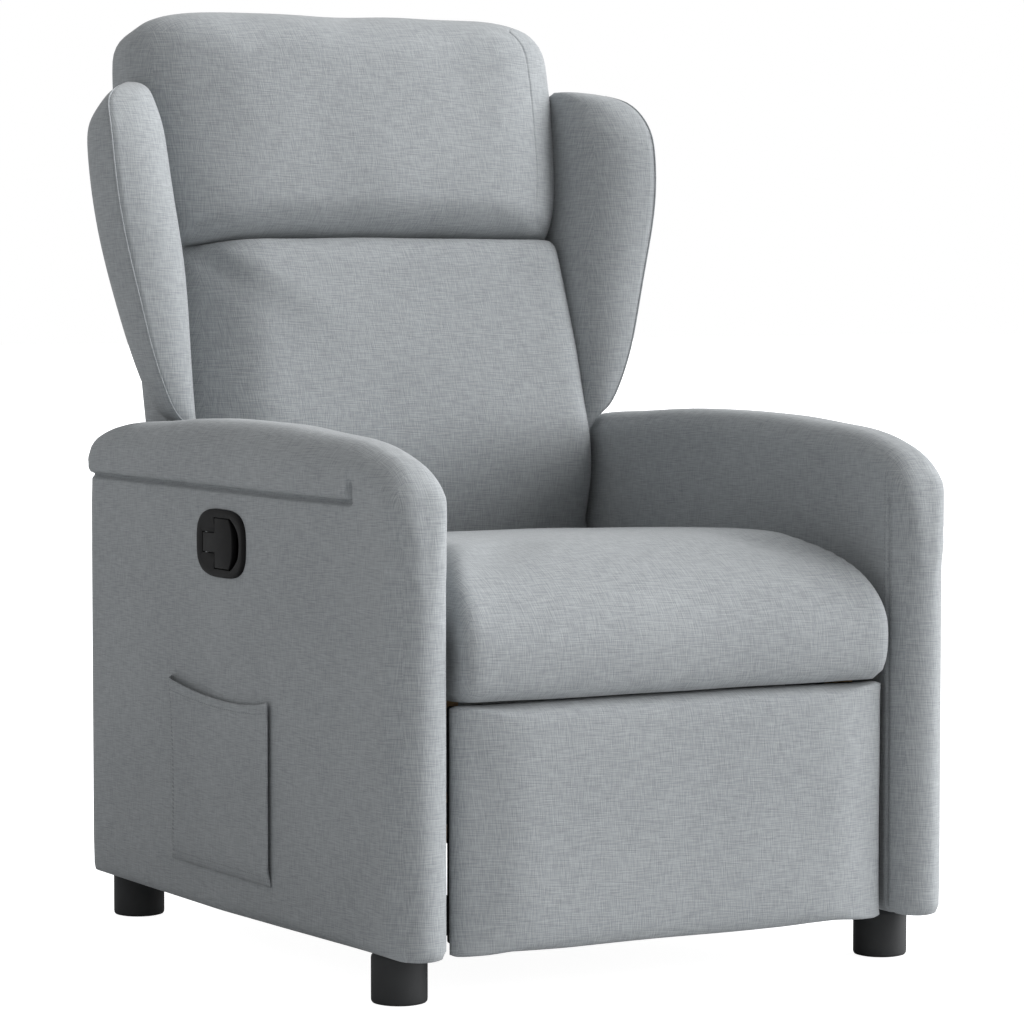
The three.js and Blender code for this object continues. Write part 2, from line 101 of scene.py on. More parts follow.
def roundEdges(points, low, high, near, far=None, crisp=None, power=2.0):
    # draws a box's edges in onto ellipses; near and far are the radii at its low and high sides,
    # and the two crisp axes keep a squarer corner between them
    far = near if far is None else far
    inner = np.clip(points, low + near, high - far)
    out = (points - inner) / np.where(points < inner, near, far)
    size = np.abs(out)
    if crisp:
        a, b = crisp
        pair = (size[:, a] ** power + size[:, b] ** power) ** (1 / power)
        length = np.hypot(pair, size[:, 3 - a - b])
    else:
        length = np.linalg.norm(out, axis=1)
    return inner + (points - inner) * (size.max(1) / np.maximum(length, 1e-9))[:, None]


def fold(points, outward, start, end, width, depth):
    # how far points move for a soft crease from start to end, deepest near its start
    start, end = np.array(start, float), np.array(end, float)
    way = end - start
    along = np.clip(((points - start) @ way) / (way @ way), 0, 1)
    away = np.linalg.norm(points - start - along[:, None] * way, axis=1)
    spread = width * (0.45 + 0.9 * along)
    return outward * depth * np.exp(-(away / spread) ** 2) * (1 - along) ** 0.7


def step(low, high, value):
    # 0 before low, 1 after high, smooth between; low may be the larger
    t = np.clip((np.asarray(value, float) - low) / (high - low), 0, 1)
    return t * t * (3 - 2 * t)


def mix(a, b, share):
    return np.asarray(a) * (1 - share) + np.asarray(b) * share


def spline(knots, values, at):
    # natural cubic curve through given points
    x, y = np.array(knots, float), np.array(values, float)
    gaps, count = np.diff(x), len(x)
    left, right = np.eye(count), np.zeros(count)
    for i in range(1, count - 1):
        left[i, i - 1:i + 2] = gaps[i - 1], 2 * (gaps[i - 1] + gaps[i]), gaps[i]
        right[i] = 6 * ((y[i + 1] - y[i]) / gaps[i] - (y[i] - y[i - 1]) / gaps[i - 1])
    bend = np.linalg.solve(left, right)
    at = np.clip(np.asarray(at, float), x[0], x[-1])
    i = np.clip(np.searchsorted(x, at) - 1, 0, count - 2)
    h, a, b = gaps[i], (x[i + 1] - at), (at - x[i])
    curve = (bend[i] * a ** 3 + bend[i + 1] * b ** 3) / (6 * h)
    return curve + (y[i] / h - bend[i] * h / 6) * a + (y[i + 1] / h - bend[i + 1] * h / 6) * b


def ripple(points, wave, seed):
    # smooth unevenness of about one, with humps roughly a wave apart
    rng = np.random.default_rng(seed)
    total = np.zeros(len(points))
    for _ in range(7):
        way = rng.normal(size=3)
        way *= 2 * math.pi / (wave * rng.uniform(0.8, 1.6) * np.linalg.norm(way))
        total += np.sin(points @ way + rng.uniform(0, 2 * math.pi))
    return total / 3.5


def makePiece(name, points, faces):
    mesh = bpy.data.meshes.new(name)
    mesh.from_pydata(np.asarray(points).tolist(), [], [list(f) for f in faces])
    mesh.polygons.foreach_set("use_smooth", np.ones(len(mesh.polygons), bool))
    piece = bpy.data.objects.new(name, mesh)
    scene.collection.objects.link(piece)
    return piece


def ringFaces(rings, count, first=0, capped=True):
    # quads between rings of points that follow one another, and a cap at each end
    faces = []
    for r in range(rings - 1):
        for i in range(count):
            a, b = first + r * count + i, first + r * count + (i + 1) % count
            faces.append((a, b, b + count, a + count))
    if capped:
        last = (rings - 1) * count
        faces += [list(range(count))[::-1], list(range(last, last + count))]
    return faces


def coordinates(piece):
    flat = np.zeros(len(piece.data.vertices) * 3)
    piece.data.vertices.foreach_get("co", flat)
    return flat.reshape(-1, 3)


def moveTo(piece, points):
    piece.data.vertices.foreach_set("co", np.asarray(points, float).ravel())
    piece.data.update()


def normals(piece):
    flat = np.zeros(len(piece.data.vertices) * 3)
    piece.data.vertex_normals.foreach_get("vector", flat)
    return flat.reshape(-1, 3)


def raiseBy(piece, amount):
    # moves each point along its own normal
    moveTo(piece, coordinates(piece) + normals(piece) * np.asarray(amount)[:, None])


def mirrorFaces(points, faces, side):
    # the right-hand form, or its mirror image with the faces turned back outwards
    if side > 0:
        return points, faces
    return points * (-1, 1, 1), np.asarray(faces)[:, ::-1]


def clothUv(piece):
    # flat pattern places in metres: each face takes the two axes that it lies along
    mesh = piece.data
    layer = mesh.uv_layers.new(name="weave")
    loopPoint = np.zeros(len(mesh.loops), int)
    mesh.loops.foreach_get("vertex_index", loopPoint)
    places = coordinates(piece)[loopPoint]
    facing = np.zeros(len(mesh.polygons) * 3)
    mesh.polygons.foreach_get("normal", facing)
    sizes = np.zeros(len(mesh.polygons), int)
    mesh.polygons.foreach_get("loop_total", sizes)
    main = np.repeat(np.abs(facing.reshape(-1, 3)).argmax(1), sizes)
    first, second = np.array([1, 0, 0])[main], np.array([2, 2, 1])[main]
    rows = np.arange(len(places))
    layer.data.foreach_set("uv", np.stack([places[rows, first], places[rows, second]], 1).ravel())


def evened(piece, values, rounds):
    # spreads values along the edges of a mesh, so that single points don't stand out
    edges = np.zeros(len(piece.data.edges) * 2, int)
    piece.data.edges.foreach_get("vertices", edges)
    ends = np.concatenate([edges.reshape(-1, 2), edges.reshape(-1, 2)[:, ::-1]])
    count = np.bincount(ends[:, 0], minlength=len(values))[:, None]
    for _ in range(rounds):
        total = np.stack([np.bincount(ends[:, 0], values[ends[:, 1], i], len(values)) for i in range(3)], 1)
        values = (values + total / count) / 2
    return values


def puff(piece, held, pressure=4.0, cap=0.012, frames=18):
    # swells a cover by cloth simulation; held has 1 where the cloth is sewn or stapled down
    before = coordinates(piece)
    group = piece.vertex_groups.new(name="held")
    for i in np.nonzero(held > 0.01)[0]:
        group.add([int(i)], float(held[i]), "REPLACE")
    cloth = piece.modifiers.new("puff", "CLOTH")
    settings = cloth.settings
    settings.quality = 4
    settings.mass = 0.35
    settings.tension_stiffness = settings.compression_stiffness = 22
    settings.bending_stiffness = 6.0
    settings.use_pressure = True
    settings.uniform_pressure_force = pressure
    settings.vertex_group_mass = "held"
    settings.pin_stiffness = 1
    settings.effector_weights.gravity = 0
    cloth.collision_settings.use_collision = False
    for f in range(1, frames + 1):
        scene.frame_set(f)
    view = bpy.context.evaluated_depsgraph_get()
    move = evened(piece, coordinates(piece.evaluated_get(view)) - before, 10)
    length = np.linalg.norm(move, axis=1, keepdims=True)
    move *= cap * np.tanh(length / cap) / np.maximum(length, 1e-9)
    piece.modifiers.remove(cloth)
    piece.vertex_groups.remove(group)
    moveTo(piece, before + move)
    scene.frame_set(1)
    most = float(np.linalg.norm(move, axis=1).max())
    print("  swelled", piece.name, "by up to", round(most * 1000, 1), "mm")


def settle(piece, material, body, slot, *nodes):
    # its material, the body that carries it, and the nodes that it stands in for; slot is not used
    piece.data.materials.clear()
    piece.data.materials.append(material)
    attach(piece, body)
    if nodes:
        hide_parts(*nodes)


def cover(piece, body, nodes):
    # last steps of a padded piece
    clothUv(piece)
    settle(piece, linen, body, "cover_fabric", *nodes)


# materials

def newMaterial(name):
    material = bpy.data.materials.new(name)
    material.use_nodes = True
    tree = material.node_tree
    return material, tree, tree.nodes["Principled BSDF"]


def pattern(tree, shader, height, tones, roughness, relief=None):
    # two tones and a relief from one pattern; relief is its strength and its depth
    ramp = addNode(tree, "ShaderNodeValToRGB", {}, {"Fac": height})
    for stop, tone in zip(ramp.color_ramp.elements, tones):
        stop.color = toLinear(tone)
    tree.links.new(ramp.outputs[0], shader.inputs["Base Color"])
    if relief:
        bump = addNode(
            tree, "ShaderNodeBump", {"Strength": relief[0], "Distance": relief[1]}, {"Height": height})
        tree.links.new(bump.outputs[0], shader.inputs["Normal"])
    shader.inputs["Roughness"].default_value = roughness


def grained(name, tones, glosses, grain, blotch, relief):
    # a fine grain all over, and slow blotches in tone and gloss between two values each
    material, tree, shader = newMaterial(name)
    place = addNode(tree, "ShaderNodeTexCoord").outputs["Object"]
    fine = addNode(tree, "ShaderNodeTexNoise", {"Scale": 1 / grain, "Detail": 2.0}, {"Vector": place})
    slow = addNode(tree, "ShaderNodeTexNoise", {
        "Scale": blotch[0], "Detail": blotch[1]}, {"Vector": place}).outputs["Fac"]
    bump = addNode(tree, "ShaderNodeBump", {
        "Strength": relief[0], "Distance": relief[1]}, {"Height": fine.outputs["Fac"]})
    tree.links.new(bump.outputs[0], shader.inputs["Normal"])
    rough = addNode(tree, "ShaderNodeMapRange", {"To Min": glosses[0], "To Max": glosses[1]}, {"Value": slow})
    tree.links.new(rough.outputs[0], shader.inputs["Roughness"])
    tint = addNode(tree, "ShaderNodeMix", {"data_type": "RGBA", 6: tones[0], 7: tones[1]}, {0: slow})
    tree.links.new(tint.outputs[2], shader.inputs["Base Color"])
    return material, shader


linenLook = {
    "dark": "#898d90", "middle": "#9da1a4", "light": "#afb3b5",
    "thread": 0.0010,  # real threads are 0.6 mm apart, drawn coarser so that they show
    "weftSlub": 0.020, "warpSlub": 0.014,  # lengths of a thick place in a thread
    "cloud": 0.16, "cloudShare": 0.22,  # slow change of tone
}


def makeLinen():
    # woven polyester linen: matt, heathered, with thin light and dark slubs both ways
    material, tree, shader = newMaterial("linenWeave")
    place = addNode(tree, "ShaderNodeUVMap", {"uv_map": "weave"}).outputs[0]
    fine = 1 / linenLook["thread"]
    threads = []
    # each thread starts its slubs at another place than its neighbour
    shift = 0.618 * fine
    for along, across in (((1 / linenLook["weftSlub"], shift, 0), (0, fine, 0)),
                          ((shift, 1 / linenLook["warpSlub"], 0), (fine, 0, 0))):
        ways = [addNode(tree, "ShaderNodeVectorMath", {"operation": "DOT_PRODUCT", 1: way}, {0: place})
                for way in (along, across)]
        spot = addNode(tree, "ShaderNodeCombineXYZ", {}, {
            i: way.outputs["Value"] for i, way in enumerate(ways)})
        threads.append(addNode(tree, "ShaderNodeTexNoise", {
            "noise_dimensions": "2D", "Scale": 1.0, "Detail": 1.5, "Roughness": 0.5,
        }, {"Vector": spot.outputs[0]}).outputs["Fac"])
    weave = addNode(tree, "ShaderNodeMath", {"operation": "ADD"}, {0: threads[0], 1: threads[1]}).outputs[0]
    cloud = addNode(tree, "ShaderNodeTexNoise", {
        "noise_dimensions": "2D", "Scale": 1 / linenLook["cloud"], "Detail": 3.0,
    }, {"Vector": place}).outputs["Fac"]
    tone = addNode(tree, "ShaderNodeMath", {
        "operation": "MULTIPLY_ADD", 1: linenLook["cloudShare"]}, {0: cloud, 2: weave}).outputs[0]
    spread = addNode(tree, "ShaderNodeMapRange", {"From Min": 0.72, "From Max": 1.5}, {"Value": tone})
    ramp = addNode(tree, "ShaderNodeValToRGB", {}, {"Fac": spread.outputs[0]})
    stops = ramp.color_ramp.elements
    stops[0].color, stops[1].color = toLinear(linenLook["dark"]), toLinear(linenLook["light"])
    stops.new(0.5).color = toLinear(linenLook["middle"])
    tree.links.new(ramp.outputs[0], shader.inputs["Base Color"])
    bump = addNode(tree, "ShaderNodeBump", {"Strength": 0.35, "Distance": 0.0006}, {"Height": weave})
    tree.links.new(bump.outputs[0], shader.inputs["Normal"])
    shader.inputs["Roughness"].default_value = 0.92
    shader.inputs["Specular IOR Level"].default_value = 0.22
    shader.inputs["Sheen Weight"].default_value = 0.18
    shader.inputs["Sheen Roughness"].default_value = 0.45
    return material


def makeThread():
    # sewing thread, a tone darker than the cloth, with fine lighter and darker specks painted along it as
    # painted highlight where its twist would catch the light
    material, tree, shader = newMaterial("sewingThread")
    place = addNode(tree, "ShaderNodeTexCoord").outputs["Object"]
    # painted highlight: a fine noise between a darker and a lighter grey stands in for light catching the
    # twisted thread
    paintedTwistShine = addNode(tree, "ShaderNodeTexNoise", {"Scale": 1400.0, "Detail": 1.0}, {"Vector": place})
    pattern(tree, shader, paintedTwistShine.outputs["Fac"], ("#777b7e", "#9a9ea1"), 0.7)
    return material


def makePlastic(name, color, worn, grain, roughness):
    # moulded polypropylene with a fine spark-eroded grain
    glosses = (roughness - 0.06, roughness + 0.08)
    material, shader = grained(
        name, (toLinear(color), toLinear(worn)), glosses, grain, (30.0, 3.0), (0.2, 0.0002))
    shader.inputs["IOR"].default_value = 1.49
    shader.inputs["Specular IOR Level"].default_value = 0.18
    return material


def makeMetal(name, color, metallic, roughness, grain):
    # rolled steel sheet: powder coated when metallic is low, zinc plated when it is high
    dark = tuple(0.7 * c for c in toLinear(color)[:3]) + (1.0,)
    glosses = (roughness - 0.08, roughness + 0.12)
    material, shader = grained(name, (dark, toLinear(color)), glosses, grain, (18.0, 4.0), (0.15, 0.0003))
    shader.inputs["Metallic"].default_value = metallic
    return material


def makePlywood():
    # rotary-cut birch: pale, with long soft grain along the board and fine pores
    material, tree, shader = newMaterial("birchPlywood")
    place = addNode(tree, "ShaderNodeTexCoord").outputs["Object"]
    long = addNode(tree, "ShaderNodeVectorMath", {
        "operation": "MULTIPLY", 1: (12.0, 12.0, 160.0)}, {0: place})
    grain = addNode(tree, "ShaderNodeTexNoise", {
        "Scale": 1.0, "Detail": 5.0, "Distortion": 0.6}, {"Vector": long.outputs[0]}).outputs["Fac"]
    pattern(tree, shader, grain, ("#a8814f", "#d9bd8f"), 0.62, (0.2, 0.0004))
    return material


def makeWebbing():
    # woven elastic strap, ribbed across every 2 mm
    material, tree, shader = newMaterial("elasticWebbing")
    place = addNode(tree, "ShaderNodeTexCoord").outputs["Object"]
    ribs = addNode(tree, "ShaderNodeTexWave", {
        "Scale": 80.0, "Distortion": 0.4, "bands_direction": "X"}, {"Vector": place}).outputs["Fac"]
    pattern(tree, shader, ribs, ("#1b1b1c", "#3a3a3c"), 0.85, (0.5, 0.0006))
    return material


def makeDustCloth():
    # black spun-bonded polypropylene, matt and slightly mottled
    material, tree, shader = newMaterial("dustCloth")
    place = addNode(tree, "ShaderNodeTexCoord").outputs["Object"]
    fibres = addNode(
        tree, "ShaderNodeTexNoise", {"Scale": 420.0, "Detail": 4.0}, {"Vector": place}).outputs["Fac"]
    pattern(tree, shader, fibres, ("#1c1d1e", "#333536"), 0.95, (0.3, 0.0004))
    return material


linen = makeLinen()
dustCloth = makeDustCloth()
sewingThread = makeThread()
softBlack = makePlastic("blackPolypropylene", "#0c0c0d", "#131314", 0.0006, 0.55)
footBlack = makePlastic("footPolypropylene", "#333435", "#434445", 0.0009, 0.55)
slotMaterials = {
    "plywood": makePlywood(),
    "black_steel": makeMetal("powderCoatedSteel", "#2a2b2c", 0.3, 0.45, 0.0012),
    "zinc_steel": makeMetal("zincPlatedSteel", "#b9bcbe", 1.0, 0.35, 0.004),
    "spring_wire": makeMetal("oilTemperedWire", "#3b3c3e", 0.9, 0.4, 0.002),
    "black_plastic": softBlack,
    "webbing": makeWebbing(),
    "cover_fabric": linen,
}
for part in frame["record"]["subparts"]:
    node = frame["nodes"][part["node"]]
    node.data.materials.clear()
    node.data.materials.append(slotMaterials[part["material_slot"]])
print("materials made")

# where the back leans
middleY = -0.03365  # the middle of the feet, in the chair's own frame
backLean = {"tilt": math.radians(13), "footY": 0.1937 + middleY, "footZ": 0.345}


def alongBack(points):
    # from (across, depth behind the front surface, height along the back) to the chair's frame
    lean = backLean["tilt"]
    x, depth, height = np.asarray(points, float).T
    y = backLean["footY"] + height * math.sin(lean) + depth * math.cos(lean)
    z = backLean["footZ"] + height * math.cos(lean) - depth * math.sin(lean)
    return np.stack([x, y, z], 1)


# arms
armLook = {
    "cell": 0.009,
    "crest": [(-0.415, 0.503), (-0.412, 0.522), (-0.403, 0.545), (-0.386, 0.562), (-0.360, 0.575),
              (-0.327, 0.584), (-0.233, 0.594), (-0.13, 0.600), (-0.044, 0.602), (0.09, 0.600),
              (0.206, 0.594), (0.303, 0.585), (0.332, 0.580), (0.350, 0.575)],
    "padSeam": 0.526, "padFront": -0.310, "padSeamTop": 0.549, "padSwell": 0.0055,
    "frontSeam": -0.383, "frontSeamTop": 0.552,
    "groove": 0.0075, "grooveWidth": 0.0023,
    "unevenness": 0.0007, "unevenWave": 0.12,
    "taper": 0.009,  # how far the outer side is drawn in towards the front
    "cupHalf": (0.0550, 0.0335), "cupCorner": 3.2, "cupDepth": 0.0205,  # the hollow behind the release plate
}


def armCover(side, name):
    low = np.array([0.280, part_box(f"arm_shell_{name}")[0].y, 0.053])
    high = np.array([0.3575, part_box(f"arm_shell_{name}")[1].y + 0.012, 0.603])
    seamY, frontY = armLook["padFront"] + middleY, armLook["frontSeam"] + middleY
    plateLow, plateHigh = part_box("release_housing")
    plate = [(plateLow.y + plateHigh.y) / 2, (plateLow.z + plateHigh.z) / 2]
    lines = [
        gridLines(low[0], high[0], 0.0055),
        gridLines(low[1], high[1], armLook["cell"], [
            (low[1] + 0.006, 0.006, 0.002), (seamY, 0.0075, 0.0015), (frontY, 0.0075, 0.0015),
            *([(plate[0], 0.060, 0.003)] if side < 0 else [])]),
        gridLines(low[2], high[2], armLook["cell"], [
            (armLook["padSeam"], 0.0105, 0.0015), *([(plate[1], 0.039, 0.003)] if side < 0 else [])]),
    ]
    points, faces = boxGrid(lines)
    flat = points.copy()
    x, y, z = points.T
    outer, front, top = step(0.309, 0.319, x), step(0.0, -0.25, y), step(0.44, 0.50, z)
    ahead = step(0.31, 0.05, y)
    radii = np.stack([
        mix(mix(mix(0.010, 0.009, outer), mix(0.034, 0.039, outer), front),
            mix(0.028, mix(0.026, 0.033, ahead), outer), top),
        mix(mix(0.012, 0.009, outer), mix(0.032, 0.040, outer), front)
        * mix(1, mix(1, 0.85, outer), top * front),
        mix(0.005, mix(0.030, mix(0.022, 0.037, ahead), outer), top),
    ], 1)
    points = roundEdges(points, low, high, radii, crisp=(1, 2), power=mix(2.4, 5.0, front))
    crestY, crestZ = zip(*armLook["crest"])
    crest = spline([c + middleY for c in crestY], crestZ, points[:, 1])
    blendFrom = mix(armLook["padSeam"] + 0.006, 0.40, step(-0.335, -0.375, points[:, 1] - middleY))
    points[:, 2] += (crest - high[2]) * step(blendFrom, 0.594, points[:, 2])
    # the pad above the seam swells over the side panel, which is drawn in a little at its edges
    isOuter = flat[:, 0] > high[0] - 1e-6
    along = step(high[1] + 0.012, high[1] - 0.02, flat[:, 1])
    along *= step(seamY - 0.004, seamY + 0.010, flat[:, 1])
    above = step(armLook["padSeam"] - 0.0008, armLook["padSeam"] + 0.010, flat[:, 2])
    above *= step(0.60, 0.548, flat[:, 2])
    points[:, 0] += armLook["padSwell"] * along * above * isOuter
    belly = step(0.056, 0.10, flat[:, 2]) * step(armLook["padSeam"], armLook["padSeam"] - 0.04, flat[:, 2])
    points[:, 0] -= armLook["taper"] * step(-0.17, -0.40, points[:, 1]) * step(0.300, 0.345, points[:, 0])
    points[:, 0] -= 0.0008 * (1 - belly) * isOuter * (flat[:, 2] < armLook["padSeam"] + 1e-6)
    if side < 0:
        reach = np.abs((flat[:, 1:] - plate) / armLook["cupHalf"]) ** armLook["cupCorner"]
        points[(reach.sum(1) < 1) & isOuter, 0] -= armLook["cupDepth"]
    points, faces = mirrorFaces(points, faces, side)
    piece = makePiece(f"armCover.{name}", points, faces)
    isInner = flat[:, 0] < 0.300
    seam = np.abs(flat[:, 2] - armLook["padSeam"]) + 1.0 * ((flat[:, 1] < seamY - 0.001) | ~isOuter)
    upright = np.abs(flat[:, 1] - seamY) + 1.0 * (
        (flat[:, 2] < armLook["padSeam"]) | (flat[:, 2] > armLook["padSeamTop"]) | ~isOuter)
    inside = np.abs(flat[:, 1] - frontY) + 1.0 * ((flat[:, 2] > armLook["frontSeamTop"]) | ~isInner)
    groove = sum(np.exp(-(away / armLook["grooveWidth"]) ** 2) * share
                 for away, share in ((seam, 1), (upright, 0.7), (inside, 0.5)))
    groove *= step(high[1] + 0.001, high[1] - 0.02, flat[:, 1]) * isOuter + (1 - isOuter)
    uneven = armLook["unevenness"] * ripple(flat, armLook["unevenWave"], 5) * (flat[:, 2] > 0.54)
    raiseBy(piece, -armLook["groove"] * np.clip(groove, 0, 1) + uneven)
    cover(piece, "base", [f"arm_shell_{name}", f"arm_pad_{name}"])
    return piece


sides = [(1, "right"), (-1, "left")]
arms = {name: armCover(side, name) for side, name in sides}
print("arms covered")

# seat
seatLook = {
    "cell": 0.010,
    "side": 0.060, "front": 0.140, "over": 0.092, "rear": 0.03, "corner": 8.0,
    "tuck": 0.034, "tuckBack": 0.045, "fall": 0.022, "shrink": 0.002, "lowered": 0.011, "crown": 0.003,
    "springRoom": 0.034, "pressure": 3.0, "cap": 0.008,
    "unevenness": 0.0008, "unevenWave": 0.14,
}


def seatCushion():
    low, high = (np.array(v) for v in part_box("seat_cushion"))
    low = low + (seatLook["shrink"], seatLook["shrink"], 0.0)
    high = high - (seatLook["shrink"], 0, seatLook["lowered"])
    lines = [gridLines(low[i], high[i], seatLook["cell"]) for i in range(3)]
    points, faces = boxGrid(lines)
    flat = points.copy()
    waist = high[2] - seatLook["over"]  # the roll is widest at this height
    lifted = points.copy()
    lifted[:, 2] = np.maximum(points[:, 2], waist)
    near = np.array([seatLook["side"], seatLook["front"], 1e-6])
    far = np.array([seatLook["side"], seatLook["rear"], seatLook["over"]])
    points = roundEdges(lifted, low, high, near, far, crisp=(0, 1), power=seatLook["corner"])
    drop = np.clip((waist - flat[:, 2]) / (waist - low[2]), 0, 1)
    tuck = 1 - np.sqrt(1 - drop ** 2)
    points[:, 0] *= 1 - seatLook["tuck"] * tuck
    points[:, 1] -= np.minimum(points[:, 1], 0) * seatLook["tuckBack"] * tuck
    points[:, 2] = np.where(flat[:, 2] < waist, flat[:, 2], points[:, 2])
    # its underside clears the springs behind the roll
    clear = low[2] + seatLook["springRoom"]
    under = (flat[:, 2] < clear) & (flat[:, 1] > low[1] + 0.050)
    points[under, 2] = np.maximum(points[under, 2], clear)
    # the top falls a little towards the back and is crowned across
    top = step(0.41, 0.455, points[:, 2])
    crown = seatLook["crown"] * (1 - np.abs(points[:, 0] / high[0]) ** 2.5)
    points[:, 2] -= top * (seatLook["fall"] * step(-0.30, 0.20, points[:, 1]) - crown)
    piece = makePiece("seatCushion", points, faces)
    held = np.maximum(
        step(low[2] + 0.040, low[2] + 0.012, flat[:, 2]), step(high[1] - 0.05, high[1], flat[:, 1]))
    puff(piece, held, seatLook["pressure"], seatLook["cap"])
    raiseBy(piece, seatLook["unevenness"] * ripple(flat, seatLook["unevenWave"], 11))
    cover(piece, "seat", ["seat_cushion"])


seatCushion()

# footrest panel
panelLook = {
    "cell": 0.009, "near": (0.088, 0.024, 0.005), "far": (0.088, 0.004, 0.009),
    "swell": 0.004, "pressure": 2.5, "cap": 0.0035,
    "unevenness": 0.0006, "unevenWave": 0.15,
}


def footrestPanel():
    low, high = (np.array(v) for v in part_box("footrest_pad"))
    low = low + (0.001, panelLook["swell"], -0.007)
    high = high - (0.001, 0.0, 0.0)
    lines = [gridLines(low[0], high[0], panelLook["cell"]), gridLines(low[1], high[1], 0.005),
             gridLines(low[2], high[2], panelLook["cell"], [
                 (high[2] - 0.006, 0.006, 0.003), (low[2] + 0.006, 0.006, 0.003)])]
    points, faces = boxGrid(lines)
    flat = points.copy()
    near, far = np.array(panelLook["near"]), np.array(panelLook["far"])
    points = roundEdges(points, low, high, near, far, crisp=(0, 2), power=9.0)
    front = step(high[1] - 0.004, high[1] - 0.012, points[:, 1])
    u = points[:, 0] / high[0]
    v = (points[:, 2] - low[2]) / (high[2] - low[2]) * 2 - 1
    points[:, 1] -= panelLook["swell"] * (1 - np.abs(u) ** 3) * (1 - np.abs(v) ** 4) * front
    piece = makePiece("footrestPanel", points, faces)
    puff(piece, 1 - front, panelLook["pressure"], panelLook["cap"])
    raiseBy(piece, panelLook["unevenness"] * ripple(flat, panelLook["unevenWave"], 3))
    cover(piece, "footrest", ["footrest_pad"])


footrestPanel()
print("seat and footrest made")

# back cushions
backLook = {
    "cell": 0.010,
    # opposite corners, across, in depth and up along the back
    "lumbarBox": ((-0.27, -0.014, 0.024), (0.27, 0.052, 0.4738)),
    "headBox": ((-0.285, -0.016, 0.4742), (0.285, 0.135, 0.762)),
    "lumbarWidth": [(0.02, 0.272), (0.12, 0.2755), (0.20, 0.2755), (0.30, 0.271), (0.43, 0.260),
                    (0.475, 0.254)],
    "lumbarSwell": 0.010, "lumbarNear": (0.030, 0.020, 0.030), "lumbarFar": (0.030, 0.005, 0.042),
    # slope at its left edge, how far in it is steady, and where it ends
    "lumbarLeft": (0.86, 0.036, 0.115),
    "lumbarRight": (0.50, 0.0, 0.050),
    "lumbarUnder": (0.52, 0.060, 0.215),  # the same for its lower end, from the seat upwards
    "deepest": (0.060, 0.005),  # how far back these slopes may reach, and how softly they stop
    # creases: out or in, start, end, width, depth
    "lumbarFolds": [
        (-1, (-0.235, 0.015, 0.464), (-0.13, -0.02, 0.35), 0.022, 0.0060),
        (1, (-0.225, 0.01, 0.470), (-0.07, -0.02, 0.37), 0.018, 0.0050),
        (-1, (0.235, 0.01, 0.466), (0.17, -0.02, 0.42), 0.010, 0.0030),
        (-1, (0.272, 0.035, 0.215), (0.20, -0.005, 0.227), 0.010, 0.004),
        (-1, (0.272, 0.035, 0.262), (0.20, -0.005, 0.274), 0.010, 0.006),
        (-1, (0.272, 0.035, 0.305), (0.20, -0.005, 0.317), 0.010, 0.005),
        (-1, (0.272, 0.035, 0.352), (0.20, -0.005, 0.364), 0.010, 0.005),
    ],
    "headFolds": [
        (-1, (-0.24, 0.01, 0.484), (-0.13, -0.02, 0.53), 0.011, 0.0035),
        (-1, (-0.262, 0.02, 0.56), (-0.17, -0.02, 0.575), 0.012, 0.0028),
        (-1, (0.245, 0.01, 0.482), (0.19, -0.02, 0.51), 0.010, 0.0030),
    ],
    "gussetAt": 0.243, "gussetWidth": 0.0022, "gussetDepth": 0.0016,
    "headWidth": [(0.474, 0.254), (0.51, 0.271), (0.57, 0.283), (0.65, 0.287), (0.765, 0.287)],
    "headSwell": 0.020, "headNear": (0.125, 0.066, 0.046), "headFar": (0.125, 0.048, 0.072),
    "pressure": 3.0, "cap": 0.007,
    "lumbarUneven": (0.0010, 0.12), "headUneven": (0.0009, 0.13),  # height and wave
}


def fallBack(inward, slope, steady, end):
    # how deep a surface lies near an edge, from the slope that it has there
    marks = np.linspace(0, end, 60)
    steep = slope * (1 - step(steady, end, marks))
    depth = np.cumsum(steep[::-1])[::-1] * (marks[1] - marks[0])
    return np.interp(inward, marks, depth - depth[-1])


